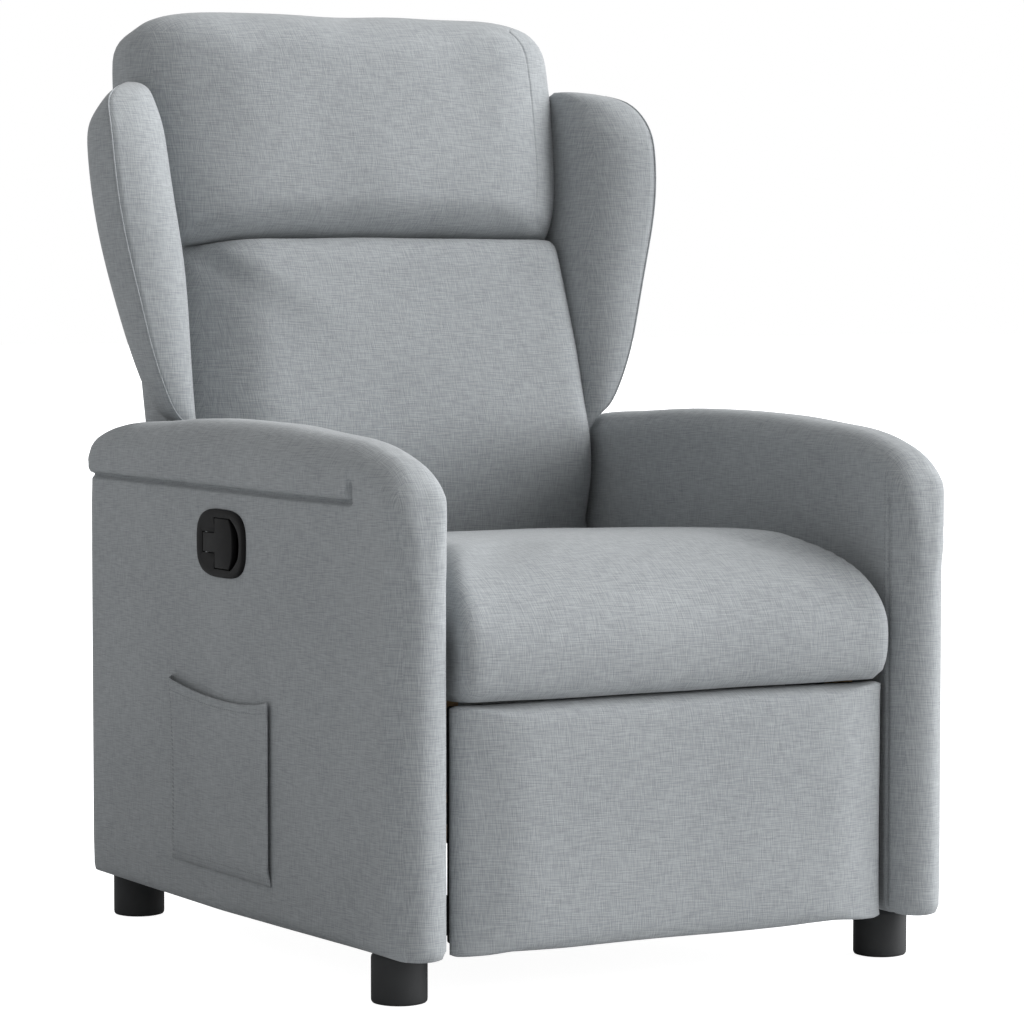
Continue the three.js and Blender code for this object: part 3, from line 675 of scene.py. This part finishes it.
def lumbarCushion():
    low, high = (np.array(corner) for corner in backLook["lumbarBox"])
    lines = [gridLines(low[0], high[0], backLook["cell"]), gridLines(low[1], high[1], 0.007),
             gridLines(low[2], high[2], backLook["cell"], [(0.448, 0.0255, 0.003)])]
    points, faces = boxGrid(lines)
    flat = points.copy()
    near, far = np.array(backLook["lumbarNear"]), np.array(backLook["lumbarFar"])
    power = mix(7.0, 24.0, step(0.015, 0.045, flat[:, 1]))
    points = roundEdges(points, low, high, near, far, crisp=(0, 2), power=power)
    front = step(0.050, 0.025, flat[:, 1])
    knots, widths = zip(*backLook["lumbarWidth"])
    points[:, 0] *= spline(knots, widths, points[:, 2]) / high[0]
    u = np.abs(points[:, 0]) / spline(knots, widths, points[:, 2])
    height = (points[:, 2] - low[2]) / (high[2] - low[2])
    swell = (1 - u ** 2) * spline([0, 0.2, 0.5, 0.8, 1], [0.45, 0.85, 1, 0.85, 0.2], height)
    points[:, 1] -= backLook["lumbarSwell"] * swell * front
    sides = spline(knots, widths, points[:, 2])
    back = fallBack(points[:, 0] + sides, *backLook["lumbarLeft"])
    back += fallBack(sides - points[:, 0], *backLook["lumbarRight"])
    back += fallBack(points[:, 2] - 0.06, *backLook["lumbarUnder"])
    deepest, soft = backLook["deepest"]
    back = deepest - soft * np.log1p(np.exp((deepest - back) / soft))
    points[:, 1] = np.minimum(points[:, 1] + back * front, high[1] - 0.002 * front)
    shape = points.copy()
    piece = makePiece("lumbarCushion", alongBack(points), faces)
    held = np.maximum(1 - front, step(0.455, 0.472, flat[:, 2]))
    puff(piece, held, backLook["pressure"], backLook["cap"])
    folds = sum(fold(shape, *crease) for crease in backLook["lumbarFolds"])
    height, wave = backLook["lumbarUneven"]
    raiseBy(piece, front * (height * ripple(flat, wave, 21) + folds))
    cover(piece, "back", ["lumbar_cushion"])


def headCushion():
    low, high = (np.array(corner) for corner in backLook["headBox"])
    lines = [gridLines(low[0], high[0], backLook["cell"], [(backLook["gussetAt"], 0.006, 0.002)]),
             gridLines(low[1], high[1], 0.009, [(0.052, 0.003, 0.003)]),
             gridLines(low[2], high[2], backLook["cell"], [(0.499, 0.024, 0.003), (0.6625, 0.003, 0.003)])]
    points, faces = boxGrid(lines)
    flat = points.copy()
    near, far = (np.tile(backLook[n], (len(points), 1)) for n in ("headNear", "headFar"))
    near[:, 0] = far[:, 0] = mix(
        backLook["headNear"][0], 0.045, step(0.02, 0.08, flat[:, 1]) * step(0.72, 0.66, flat[:, 2]))
    power = mix(mix(7.0, 24.0, step(0.015, 0.045, flat[:, 1])), 3.0, step(0.55, 0.66, flat[:, 2]))
    points = roundEdges(points, low, high, near, far, crisp=(0, 2), power=power)
    behind = (flat[:, 2] < 0.661) & (flat[:, 1] > 0.052)
    points[behind, 1] = np.minimum(points[behind, 1], 0.052)
    knots, widths = zip(*backLook["headWidth"])
    points[:, 0] *= spline(knots, widths, points[:, 2]) / high[0]
    u = np.abs(points[:, 0]) / high[0]
    height = (points[:, 2] - low[2]) / (high[2] - low[2])
    front = step(0.09, 0.0, points[:, 1])
    swell = spline([0, 0.18, 0.45, 0.75, 1], [0.25, 0.85, 1, 0.7, 0.1], height)
    swell *= 1 - np.clip(u, 0, 1) ** 2
    points[:, 1] -= backLook["headSwell"] * swell * front
    shape = points.copy()
    piece = makePiece("headCushion", alongBack(points), faces)
    held = np.maximum(step(0.495, 0.478, flat[:, 2]), step(0.06, 0.075, flat[:, 1]))
    puff(piece, held, backLook["pressure"], backLook["cap"])
    folds = sum(fold(shape, *crease) for crease in backLook["headFolds"])
    # the right-hand gusset seam
    seam = np.exp(-((flat[:, 0] - backLook["gussetAt"]) / backLook["gussetWidth"]) ** 2)
    seam *= (flat[:, 1] < 0.0) * step(0.50, 0.53, flat[:, 2])
    height, wave = backLook["headUneven"]
    raiseBy(piece, height * ripple(flat, wave, 31) + folds * front - backLook["gussetDepth"] * seam)
    cover(piece, "back", ["head_cushion"])


lumbarCushion()
headCushion()
print("back cushions made")

# wings
# each level: height, root x and y, front seam x and y, outer rear x and y, rear root y
wingLook = {
    "levels": [
        (0.564, 0.262, 0.264, 0.269, 0.256, 0.270, 0.264, 0.272),
        (0.578, 0.262, 0.267, 0.275, 0.251, 0.276, 0.275, 0.300),
        (0.592, 0.262, 0.270, 0.285, 0.247, 0.286, 0.290, 0.322),
        (0.610, 0.262, 0.275, 0.300, 0.244, 0.300, 0.306, 0.334),
        (0.665, 0.260, 0.298, 0.322, 0.243, 0.321, 0.317, 0.352),
        (0.729, 0.258, 0.318, 0.338, 0.246, 0.338, 0.328, 0.375),
        (0.790, 0.260, 0.332, 0.352, 0.249, 0.352, 0.335, 0.395),
        (0.850, 0.268, 0.345, 0.363, 0.251, 0.361, 0.340, 0.414),
        (0.905, 0.274, 0.354, 0.367, 0.257, 0.365, 0.344, 0.425),
        (0.941, 0.277, 0.360, 0.366, 0.268, 0.358, 0.350, 0.428),
        (0.966, 0.280, 0.362, 0.359, 0.288, 0.332, 0.358, 0.422),
        (0.980, 0.284, 0.360, 0.343, 0.306, 0.309, 0.364, 0.406),
        (0.987, 0.288, 0.358, 0.322, 0.330, 0.298, 0.370, 0.388),
        (0.990, 0.292, 0.362, 0.306, 0.350, 0.297, 0.377, 0.384),
    ],
    "rings": 72, "innerSwell": 0.30, "bandSwell": 0.09,
}


def wingRing(level):
    z, rootX, rootY, frontX, frontY, rearX, rearY, backY = level
    root, edge = np.array([rootX, rootY]), np.array([frontX, frontY])
    rear, backRoot = np.array([rearX, rearY]), np.array([rootX, backY])

    def bowed(a, b, swell, count, full=0.8):
        # from a towards b, bowed out to the right of the way there
        t = np.linspace(0, 1, count, endpoint=False)[:, None]
        way = b - a
        return a + way * t + np.array([way[1], -way[0]]) * swell * np.sin(math.pi * t) ** full
    ring = np.concatenate([
        bowed(root, edge, wingLook["innerSwell"], 22, 0.7), bowed(edge, rear, wingLook["bandSwell"], 12),
        bowed(rear, backRoot, 0.06, 8), bowed(backRoot, root, 0.0, 6)])
    return np.column_stack([ring[:, 0], ring[:, 1] + middleY, np.full(len(ring), z)])


def wing(side, name):
    levels = np.array(wingLook["levels"])
    marks = np.arange(len(levels))
    at = np.linspace(0, len(levels) - 1, wingLook["rings"])
    smoothLevels = np.stack([spline(marks, levels[:, i], at) for i in range(levels.shape[1])], 1)
    rings = np.stack([wingRing(level) for level in smoothLevels])
    # the outer rear corner is rounded, the front edge stays crisp at its seam
    edgeAt = 22
    for _ in range(10):
        relaxed = (np.roll(rings, 1, 1) + np.roll(rings, -1, 1)) / 2
        keep = rings[:, edgeAt].copy()
        rings = mix(rings, relaxed, 0.5)
        rings[:, edgeAt] = keep
    points = rings.reshape(-1, 3)
    faces = ringFaces(len(rings), rings.shape[1])
    if side < 0:
        points = points * (-1, 1, 1)
        faces = [f[::-1] for f in faces]
    piece = makePiece(f"wing.{name}", points, faces)
    edgeLine = rings[:, edgeAt] * (side, 1, 1)
    return piece, edgeLine


def tube(name, line, radius, sides=8):
    # a closed round bead along a line, thinner towards its ends
    line = np.asarray(line, float)
    t = np.linspace(0, 1, len(line))
    radius = radius * np.clip(np.minimum(t, 1 - t) * 12, 0.25, 1)[:, None, None]
    ahead = np.gradient(line, axis=0)
    ahead /= np.linalg.norm(ahead, axis=1, keepdims=True)
    up = np.cross(ahead, (0.31, -0.77, 0.56))
    up /= np.linalg.norm(up, axis=1, keepdims=True)
    out = np.cross(ahead, up)
    turn = np.linspace(0, 2 * math.pi, sides, endpoint=False)
    points = np.concatenate([line[:, None] + radius * (
        np.cos(turn)[None, :, None] * up[:, None] + np.sin(turn)[None, :, None] * out[:, None])])
    return makePiece(name, points.reshape(-1, 3), ringFaces(len(line), sides))


for side, name in sides:
    piece, edgeLine = wing(side, name)
    cover(piece, "back", [f"wing_{name}"])
    bead = tube(f"wingPiping.{name}", edgeLine[3:-8], 0.0010)
    clothUv(bead)
    settle(bead, linen, "back", "cover_fabric")
print("wings made")

# rear of the back and of the base
rearLook = {
    "cell": 0.014, "shellBox": ((-0.2765, 0.0535, 0.008), (0.2765, 0.1335, 0.6595)),
    "swell": 0.004, "swellMiddle": 0.3338, "swellHalf": 0.3258, "wall": 0.0025,
    "panelEdge": 0.0075, "panelSwell": 0.002,
}


def rearShell():
    low, high = (np.array(corner) for corner in rearLook["shellBox"])
    lines = [gridLines(low[i], high[i], rearLook["cell"] if i != 1 else 0.008) for i in range(3)]
    points, faces = boxGrid(lines)
    flat = points.copy()
    rear = step(0.075, 0.11, flat[:, 1])
    upper = step(0.48, 0.63, flat[:, 2])
    radii = mix((0.002, 0.002, 0.002), (0.018, 0.018, 0.012), rear[:, None])
    radii = mix(radii, mix((0.010, 0.002, 0.010), (0.060, 0.058, 0.012), rear[:, None]), upper[:, None])
    points = roundEdges(points, low, high, radii)
    points[:, 0] *= 1 + 0.020 * upper
    u, v = points[:, 0] / high[0], (points[:, 2] - rearLook["swellMiddle"]) / rearLook["swellHalf"]
    points[:, 1] += rearLook["swell"] * (1 - np.clip(np.abs(u), 0, 1) ** 4) * (1 - np.abs(v) ** 6) * rear
    points = alongBack(points)
    frontFace = np.isclose(flat[faces][:, :, 1], low[1]).all(1)
    bottomFace = np.isclose(flat[faces][:, :, 2], low[2]).all(1)
    piece = makePiece("backShell", points, faces[~(frontFace | bottomFace)])
    wall = piece.modifiers.new("wall", "SOLIDIFY")
    wall.thickness, wall.offset = rearLook["wall"], -1
    cover(piece, "back", ["back_panel"])


def lowerRearPanel():
    low, high = (np.array(v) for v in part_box("rear_panel"))
    lines = [gridLines(low[i], high[i], rearLook["cell"] if i != 1 else 0.005) for i in range(3)]
    points, faces = boxGrid(lines)
    points = roundEdges(points, low, high, np.full_like(points, rearLook["panelEdge"]))
    u, v = points[:, 0] / high[0], (points[:, 2] - low[2]) / (high[2] - low[2]) * 2 - 1
    swell = (1 - np.abs(u) ** 4) * (1 - np.abs(v) ** 4) * (points[:, 1] > high[1] - 0.009)
    points[:, 1] += rearLook["panelSwell"] * swell
    piece = makePiece("lowerRearPanel", points, faces)
    cover(piece, "base", ["rear_panel"])


def wrapped(name, node, body, grow):
    # cloth stapled round a board, so that no bare wood shows
    low, high = (np.array(v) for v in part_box(node))
    low, high = low - grow, high + grow
    lines = [gridLines(low[i], high[i], max(0.02, (high[i] - low[i]) / 40), [
        (low[i] + 0.003, 0.003, 0.0015), (high[i] - 0.003, 0.003, 0.0015)]) for i in range(3)]
    points, faces = boxGrid(lines)
    points = roundEdges(points, low, high, np.full_like(points, 0.003))
    piece = makePiece(name, points, faces)
    clothUv(piece)
    settle(piece, dustCloth, body, "cover_fabric")


rearShell()
lowerRearPanel()
wrapped("footrestLiner", "footrest_board", "footrest", (0.0012, 0.0010, 0.0012))
wrapped("seatRailCloth", "seat_rail_front", "seat", (0.0, 0.0010, 0.0010))
wrapped("frontRailCloth", "base_rail_front", "base", (0.0, 0.0010, 0.0010))

# side pocket
pocketLook = {
    "thick": 0.0016, "sag": 0.012, "gape": 0.0062, "hem": 0.015, "flat": (0.258, 0.212),
}


def sidePocket():
    low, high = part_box("side_pocket")
    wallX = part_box("arm_shell_left")[0].x
    ys, zs = gridLines(low.y, high.y, 0.0045), gridLines(low.z, high.z, 0.0045)
    u = (ys - low.y) / (high.y - low.y)
    v = (zs - low.z) / (high.z - low.z)
    uu, vv = np.meshgrid(u, v, indexing="ij")
    # sewn down at the rear and the bottom, full at the front edge, gaping at the rear of its mouth
    full = np.sin(np.clip((1 - uu) / 0.06, 0, 1) * math.pi / 2) * step(-0.01, 0.10, vv)
    gape = pocketLook["gape"] * vv ** 4 * step(0.30, 0.93, uu)
    stand = 0.0010 + 0.0030 * full * mix(1.2, 0.7, uu) + gape * np.clip((1 - uu) / 0.03, 0, 1)
    dip = pocketLook["sag"] * np.sin(math.pi * np.clip(uu, 0, 1) ** 0.85) ** 0.9
    sag = (dip + 0.007 * (1 - uu)) * vv ** 5
    grid = np.stack([wallX - stand, low.y + uu * (high.y - low.y), low.z + vv * (high.z - low.z) - sag], -1)
    points = grid.reshape(-1, 3)
    index = np.arange(uu.size).reshape(uu.shape)
    faces = np.stack([index[:-1, :-1], index[:-1, 1:], index[1:, 1:], index[1:, :-1]], -1).reshape(-1, 4)
    piece = makePiece("sidePocket", points, faces)
    wall = piece.modifiers.new("cloth", "SOLIDIFY")
    wall.thickness, wall.offset = pocketLook["thick"], 1
    clothUv(piece)
    settle(piece, linen, "base", "cover_fabric", "side_pocket")
    return grid


pocketGrid = sidePocket()
print("pocket made")

# stitches
stitchLook = {"length": 0.0034, "spacing": 0.0048, "thickness": 0.0007}


def stitchTree():
    # thread stitches, one every spacing along the edges of a line mesh
    tree = bpy.data.node_groups.new("sewnStitches", "GeometryNodeTree")
    tree.interface.new_socket("Line", in_out="INPUT", socket_type="NodeSocketGeometry")
    for size in ("Stitch Length", "Spacing", "Thickness"):
        tree.interface.new_socket(size, in_out="INPUT", socket_type="NodeSocketFloat")
    tree.interface.new_socket("Stitches", in_out="OUTPUT", socket_type="NodeSocketGeometry")
    given = addNode(tree, "NodeGroupInput")
    path = addNode(tree, "GeometryNodeMeshToCurve", {}, {"Mesh": given.outputs["Line"]})
    even = addNode(tree, "GeometryNodeResampleCurve", {"mode": "LENGTH"}, {
        "Curve": path.outputs[0], "Length": given.outputs["Spacing"]})
    ahead = addNode(tree, "GeometryNodeInputTangent")
    turn = addNode(tree, "FunctionNodeAlignRotationToVector", {"axis": "X"}, {"Vector": ahead.outputs[0]})
    bead = addNode(tree, "GeometryNodeMeshUVSphere", {"Segments": 6, "Rings": 5, "Radius": 0.5})
    thick = given.outputs["Thickness"]
    size = addNode(tree, "ShaderNodeCombineXYZ", {}, {
        "X": given.outputs["Stitch Length"], "Y": thick, "Z": thick})
    placed = addNode(tree, "GeometryNodeInstanceOnPoints", {}, {
        "Points": even.outputs[0], "Instance": bead.outputs[0],
        "Rotation": turn.outputs[0], "Scale": size.outputs[0]})
    whole = addNode(tree, "GeometryNodeRealizeInstances", {}, {"Geometry": placed.outputs[0]})
    smooth = addNode(tree, "GeometryNodeSetShadeSmooth", {}, {"Geometry": whole.outputs[0]})
    dyed = addNode(
        tree, "GeometryNodeSetMaterial", {"Material": sewingThread}, {"Geometry": smooth.outputs[0]})
    addNode(tree, "NodeGroupOutput", {}, {"Stitches": dyed.outputs[0]})
    return tree


def sew(name, body, lines):
    # rows of stitches on one body; each line is a run of points
    points, edges = [], []
    for line in lines:
        edges += [(len(points) + i, len(points) + i + 1) for i in range(len(line) - 1)]
        points += [tuple(p) for p in line]
    mesh = bpy.data.meshes.new(name)
    mesh.from_pydata(points, edges, [])
    piece = bpy.data.objects.new(name, mesh)
    scene.collection.objects.link(piece)
    rows = piece.modifiers.new("stitches", "NODES")
    rows.node_group = sewnStitches
    items = sewnStitches.interface.items_tree
    sockets = {item.name: item.identifier for item in items if item.in_out == "INPUT"}
    rows[sockets["Stitch Length"]] = stitchLook["length"]
    rows[sockets["Spacing"]] = stitchLook["spacing"]
    rows[sockets["Thickness"]] = stitchLook["thickness"]
    applyAll(piece)
    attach(piece, body)


def applyAll(piece):
    # keeps what the modifiers make, as a plain mesh
    view = bpy.context.evaluated_depsgraph_get()
    plain = bpy.data.meshes.new_from_object(piece.evaluated_get(view))
    piece.modifiers.clear()
    piece.data = plain


def onSurface(piece, line, lift):
    # the nearest places on a piece, just proud of it
    mesh = piece.data
    skin = BVHTree.FromPolygons(
        [v.co.copy() for v in mesh.vertices], [tuple(p.vertices) for p in mesh.polygons])
    result = []
    for place in line:
        near, normal, _, _ = skin.find_nearest(Vector(place))
        result.append(tuple(near + normal * lift))
    return result


sewnStitches = stitchTree()
for side, name in sides:
    rows = []
    for shift in (-0.0065, 0.0065):
        y = armLook["frontSeam"] + middleY + shift
        seamLine = [(side * 0.279, y, z) for z in np.linspace(0.075, 0.545, 120)]
        rows.append(onSurface(arms[name], seamLine, 0.0001))
    sew(f"armSeamStitches.{name}", "base", rows)
outerSkin = pocketGrid + np.array([-pocketLook["thick"] - 0.0001, 0, 0])
hem = len(outerSkin[0]) - 1 - round(pocketLook["hem"] / 0.0045)
sew("pocketStitches", "base", [outerSkin[:, hem], outerSkin[:, 1], outerSkin[:, 2],
                               outerSkin[-2, 1:hem + 3], outerSkin[-3, 1:hem + 3]])
print("stitches sewn")

# feet
footLook = {
    "rings": [(0.0, 0.0), (0.0255, 0.0), (0.0285, 0.0008), (0.0297, 0.0025), (0.03, 0.005),
              (0.03, 0.048), (0.0294, 0.0505), (0.0285, 0.0515), (0.0285, 0.0545), (0.0, 0.0545)],
    "sides": 72,
}


def turned(name, middle, rings, sides):
    # a closed turned piece standing on the floor; rings are radius and height
    turn = np.linspace(0, 2 * math.pi, sides, endpoint=False)
    points = [(middle[0], middle[1], rings[0][1])]
    for radius, height in rings[1:-1]:
        points += [
            (middle[0] + radius * math.cos(a), middle[1] + radius * math.sin(a), height) for a in turn]
    points.append((middle[0], middle[1], rings[-1][1]))
    faces = ringFaces(len(rings) - 2, sides, 1, capped=False)
    last = len(points) - 1
    for i in range(sides):
        faces.append((0, 1 + (i + 1) % sides, 1 + i))
        faces.append((last, last - sides + i, last - sides + (i + 1) % sides))
    return makePiece(name, points, faces)


for end in ("front", "rear"):
    for side, name in sides:
        low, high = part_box(f"foot_{end}_{name}")
        foot = turned(f"foot.{end}.{name}", (low + high) / 2, footLook["rings"], footLook["sides"])
        settle(foot, footBlack, "base", "black_plastic", f"foot_{end}_{name}")

# release
releaseLook = {
    "corner": 3.2, "points": 96,
    # the plate's rim: how far in from its outline, and how far behind its face
    "rim": [(0.0, 0.0045), (0.0, 0.0030), (0.0008, 0.0014), (0.0022, 0.0004), (0.0045, 0.0),
            (0.0090, 0.0004), (0.018, 0.0010)],
    "cupInset": (0.0055, 0.0035), "cupPoints": 64,
    # the T: half its width at the wide and the narrow end, and how far the wide end is bowed
    "pull": (0.028, 0.011, 0.009), "pullNeck": 0.045,
    "recess": (0.0288, 0.0118, 0.022), "recessAhead": 0.0180, "recessNeck": 0.0458, "recessBehind": 0.0016,
    "plateEdge": (0.0006, 2), "pullEdge": (0.0011, 3),  # rounding and its steps
}


def squircle(halfY, halfZ, power, count):
    turn = np.linspace(0, 2 * math.pi, count, endpoint=False)
    around = np.stack([np.cos(turn), np.sin(turn)], 1)
    return np.sign(around) * np.abs(around) ** (2 / power) * (halfY, halfZ)


def prism(name, outline, x0, x1):
    # an outline in (y, z) as a solid from x0 to x1
    count = len(outline)
    points = [(x, y, z) for x in (x0, x1) for y, z in outline]
    faces = [(i, (i + 1) % count, count + (i + 1) % count, count + i) for i in range(count)]
    faces += [list(range(count))[::-1], list(range(count, 2 * count))]
    piece = makePiece(name, points, faces)
    piece.data.polygons.foreach_set("use_smooth", np.zeros(len(piece.data.polygons), bool))
    return piece


def tShape(front, neck, rear, middle, wide, narrow, bow):
    # a T lying on its side, whose wide end has a bowed edge
    across = np.linspace(1, -1, 15)
    bowed = [(front + bow * abs(v) ** 2.6, middle + wide * v) for v in across]
    return bowed + [(neck, middle - wide), (neck, middle - narrow), (rear, middle - narrow),
                    (rear, middle + narrow), (neck, middle + narrow), (neck, middle + wide)]


def softenEdges(piece, width, segments):
    edge = piece.modifiers.new("edge", "BEVEL")
    edge.width, edge.segments = width, segments
    edge.limit_method, edge.angle_limit = "ANGLE", math.radians(50)
    applyAll(piece)


def releasePlate():
    low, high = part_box("release_housing")
    middleOfY, middleOfZ = (low.y + high.y) / 2, (low.z + high.z) / 2
    halfY, halfZ = (high.y - low.y) / 2, (high.z - low.z) / 2
    rings, count = [], releaseLook["points"]
    for inset, behind in releaseLook["rim"]:
        ring = squircle(halfY - inset, halfZ - inset, releaseLook["corner"], count)
        rings.append(np.column_stack([
            np.full(count, low.x + behind), ring[:, 0] + middleOfY, ring[:, 1] + middleOfZ]))
    # the rings run inwards across the face, so their quads are turned over
    faces = [(a, d, c, b) for a, b, c, d in ringFaces(len(rings), count, capped=False)]
    last = (len(rings) - 1) * count
    faces += [list(range(count)), list(range(last, last + count))[::-1]]
    plate = makePiece("releasePlate", np.concatenate(rings), faces)
    insetY, insetZ = releaseLook["cupInset"]
    cupEdge = squircle(halfY - insetY, halfZ - insetZ, releaseLook["corner"], releaseLook["cupPoints"])
    cup = prism("cup", cupEdge + (middleOfY, middleOfZ), low.x + 0.0035, high.x)
    pullLow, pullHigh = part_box("release_pull")
    shape = tShape(pullLow.y - releaseLook["recessAhead"], pullLow.y + releaseLook["recessNeck"],
                   pullHigh.y + releaseLook["recessBehind"], middleOfZ, *releaseLook["recess"])
    recess = prism("recess", shape, low.x - 0.005, high.x - 0.003)
    for tool, operation in ((cup, "UNION"), (recess, "DIFFERENCE")):
        cut = plate.modifiers.new(tool.name, "BOOLEAN")
        cut.object, cut.operation, cut.solver = tool, operation, "EXACT"
    applyAll(plate)
    for tool in (cup, recess):
        bpy.data.objects.remove(tool)
    softenEdges(plate, *releaseLook["plateEdge"])
    settle(plate, softBlack, "base", "black_plastic", "release_housing")


def releasePull():
    low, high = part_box("release_pull")
    middleOfZ = (low.z + high.z) / 2
    shape = tShape(low.y, low.y + releaseLook["pullNeck"], high.y, middleOfZ, *releaseLook["pull"])
    pull = prism("releasePull", shape, low.x, high.x)
    softenEdges(pull, *releaseLook["pullEdge"])
    pull.data.polygons.foreach_set("use_smooth", np.ones(len(pull.data.polygons), bool))
    settle(pull, softBlack, "release_pull", "black_plastic", "release_pull")


releasePlate()
releasePull()
print("feet and release made")

# floor, lights and camera
studio = {
    "floor": "#cbcccd", "floorGlow": 0.95,  # the glow is only for the eye, and lights nothing
    "sky": 0.46,  # how bright the even dome of light is
    "keyFrom": (0.85, -0.28, 0.45), "keyStrength": 4.5, "keyAngle": 62,
}


def stageFloor():
    bpy.ops.mesh.primitive_plane_add(size=60, location=(0, 0, -0.0005))
    floor = bpy.context.object
    floor.name = "studioFloor"
    material, tree, shader = newMaterial("paleFloor")
    shader.inputs["Base Color"].default_value = toLinear(studio["floor"])
    shader.inputs["Roughness"].default_value = 0.9
    shader.inputs["Emission Color"].default_value = (1, 1, 1, 1)
    seen = addNode(tree, "ShaderNodeLightPath").outputs["Is Camera Ray"]
    glow = addNode(tree, "ShaderNodeMath", {"operation": "MULTIPLY", 1: studio["floorGlow"]}, {0: seen})
    tree.links.new(glow.outputs[0], shader.inputs["Emission Strength"])
    floor.data.materials.append(material)


def lightStudio():
    key = bpy.data.lights.new("keyLight", "SUN")
    key.energy, key.angle = studio["keyStrength"], math.radians(studio["keyAngle"])
    lamp = bpy.data.objects.new("keyLight", key)
    lamp.rotation_euler = Vector(studio["keyFrom"]).to_track_quat("Z", "Y").to_euler()
    scene.collection.objects.link(lamp)
    world = bpy.data.worlds.new("studio")
    scene.world = world
    world.use_nodes = True
    tree = world.node_tree
    fill = tree.nodes["Background"]
    fill.inputs["Strength"].default_value = studio["sky"]
    fill.inputs["Color"].default_value = (1, 1, 1, 1)
    white = addNode(tree, "ShaderNodeBackground", {"Color": (1, 1, 1, 1), "Strength": 1.0})
    seen = addNode(tree, "ShaderNodeLightPath").outputs["Is Camera Ray"]
    both = addNode(tree, "ShaderNodeMixShader", {}, {0: seen, 1: fill.outputs[0], 2: white.outputs[0]})
    tree.links.new(both.outputs[0], tree.nodes["World Output"].inputs["Surface"])
    scene.view_settings.view_transform = "Standard"


cameraLook = {"place": (-2.278, -4.084 + middleY, 0.781), "heading": math.radians(-29.346),
              "down": math.radians(3.568), "lens": 142.8}


def placeCamera():
    data = bpy.data.cameras.new("camera")
    data.lens, data.sensor_width = cameraLook["lens"], 36
    camera = bpy.data.objects.new("camera", data)
    camera.location = cameraLook["place"]
    camera.rotation_euler = (math.pi / 2 - cameraLook["down"], 0, cameraLook["heading"])
    scene.collection.objects.link(camera)
    scene.camera = camera


stageFloor()
lightStudio()
placeCamera()
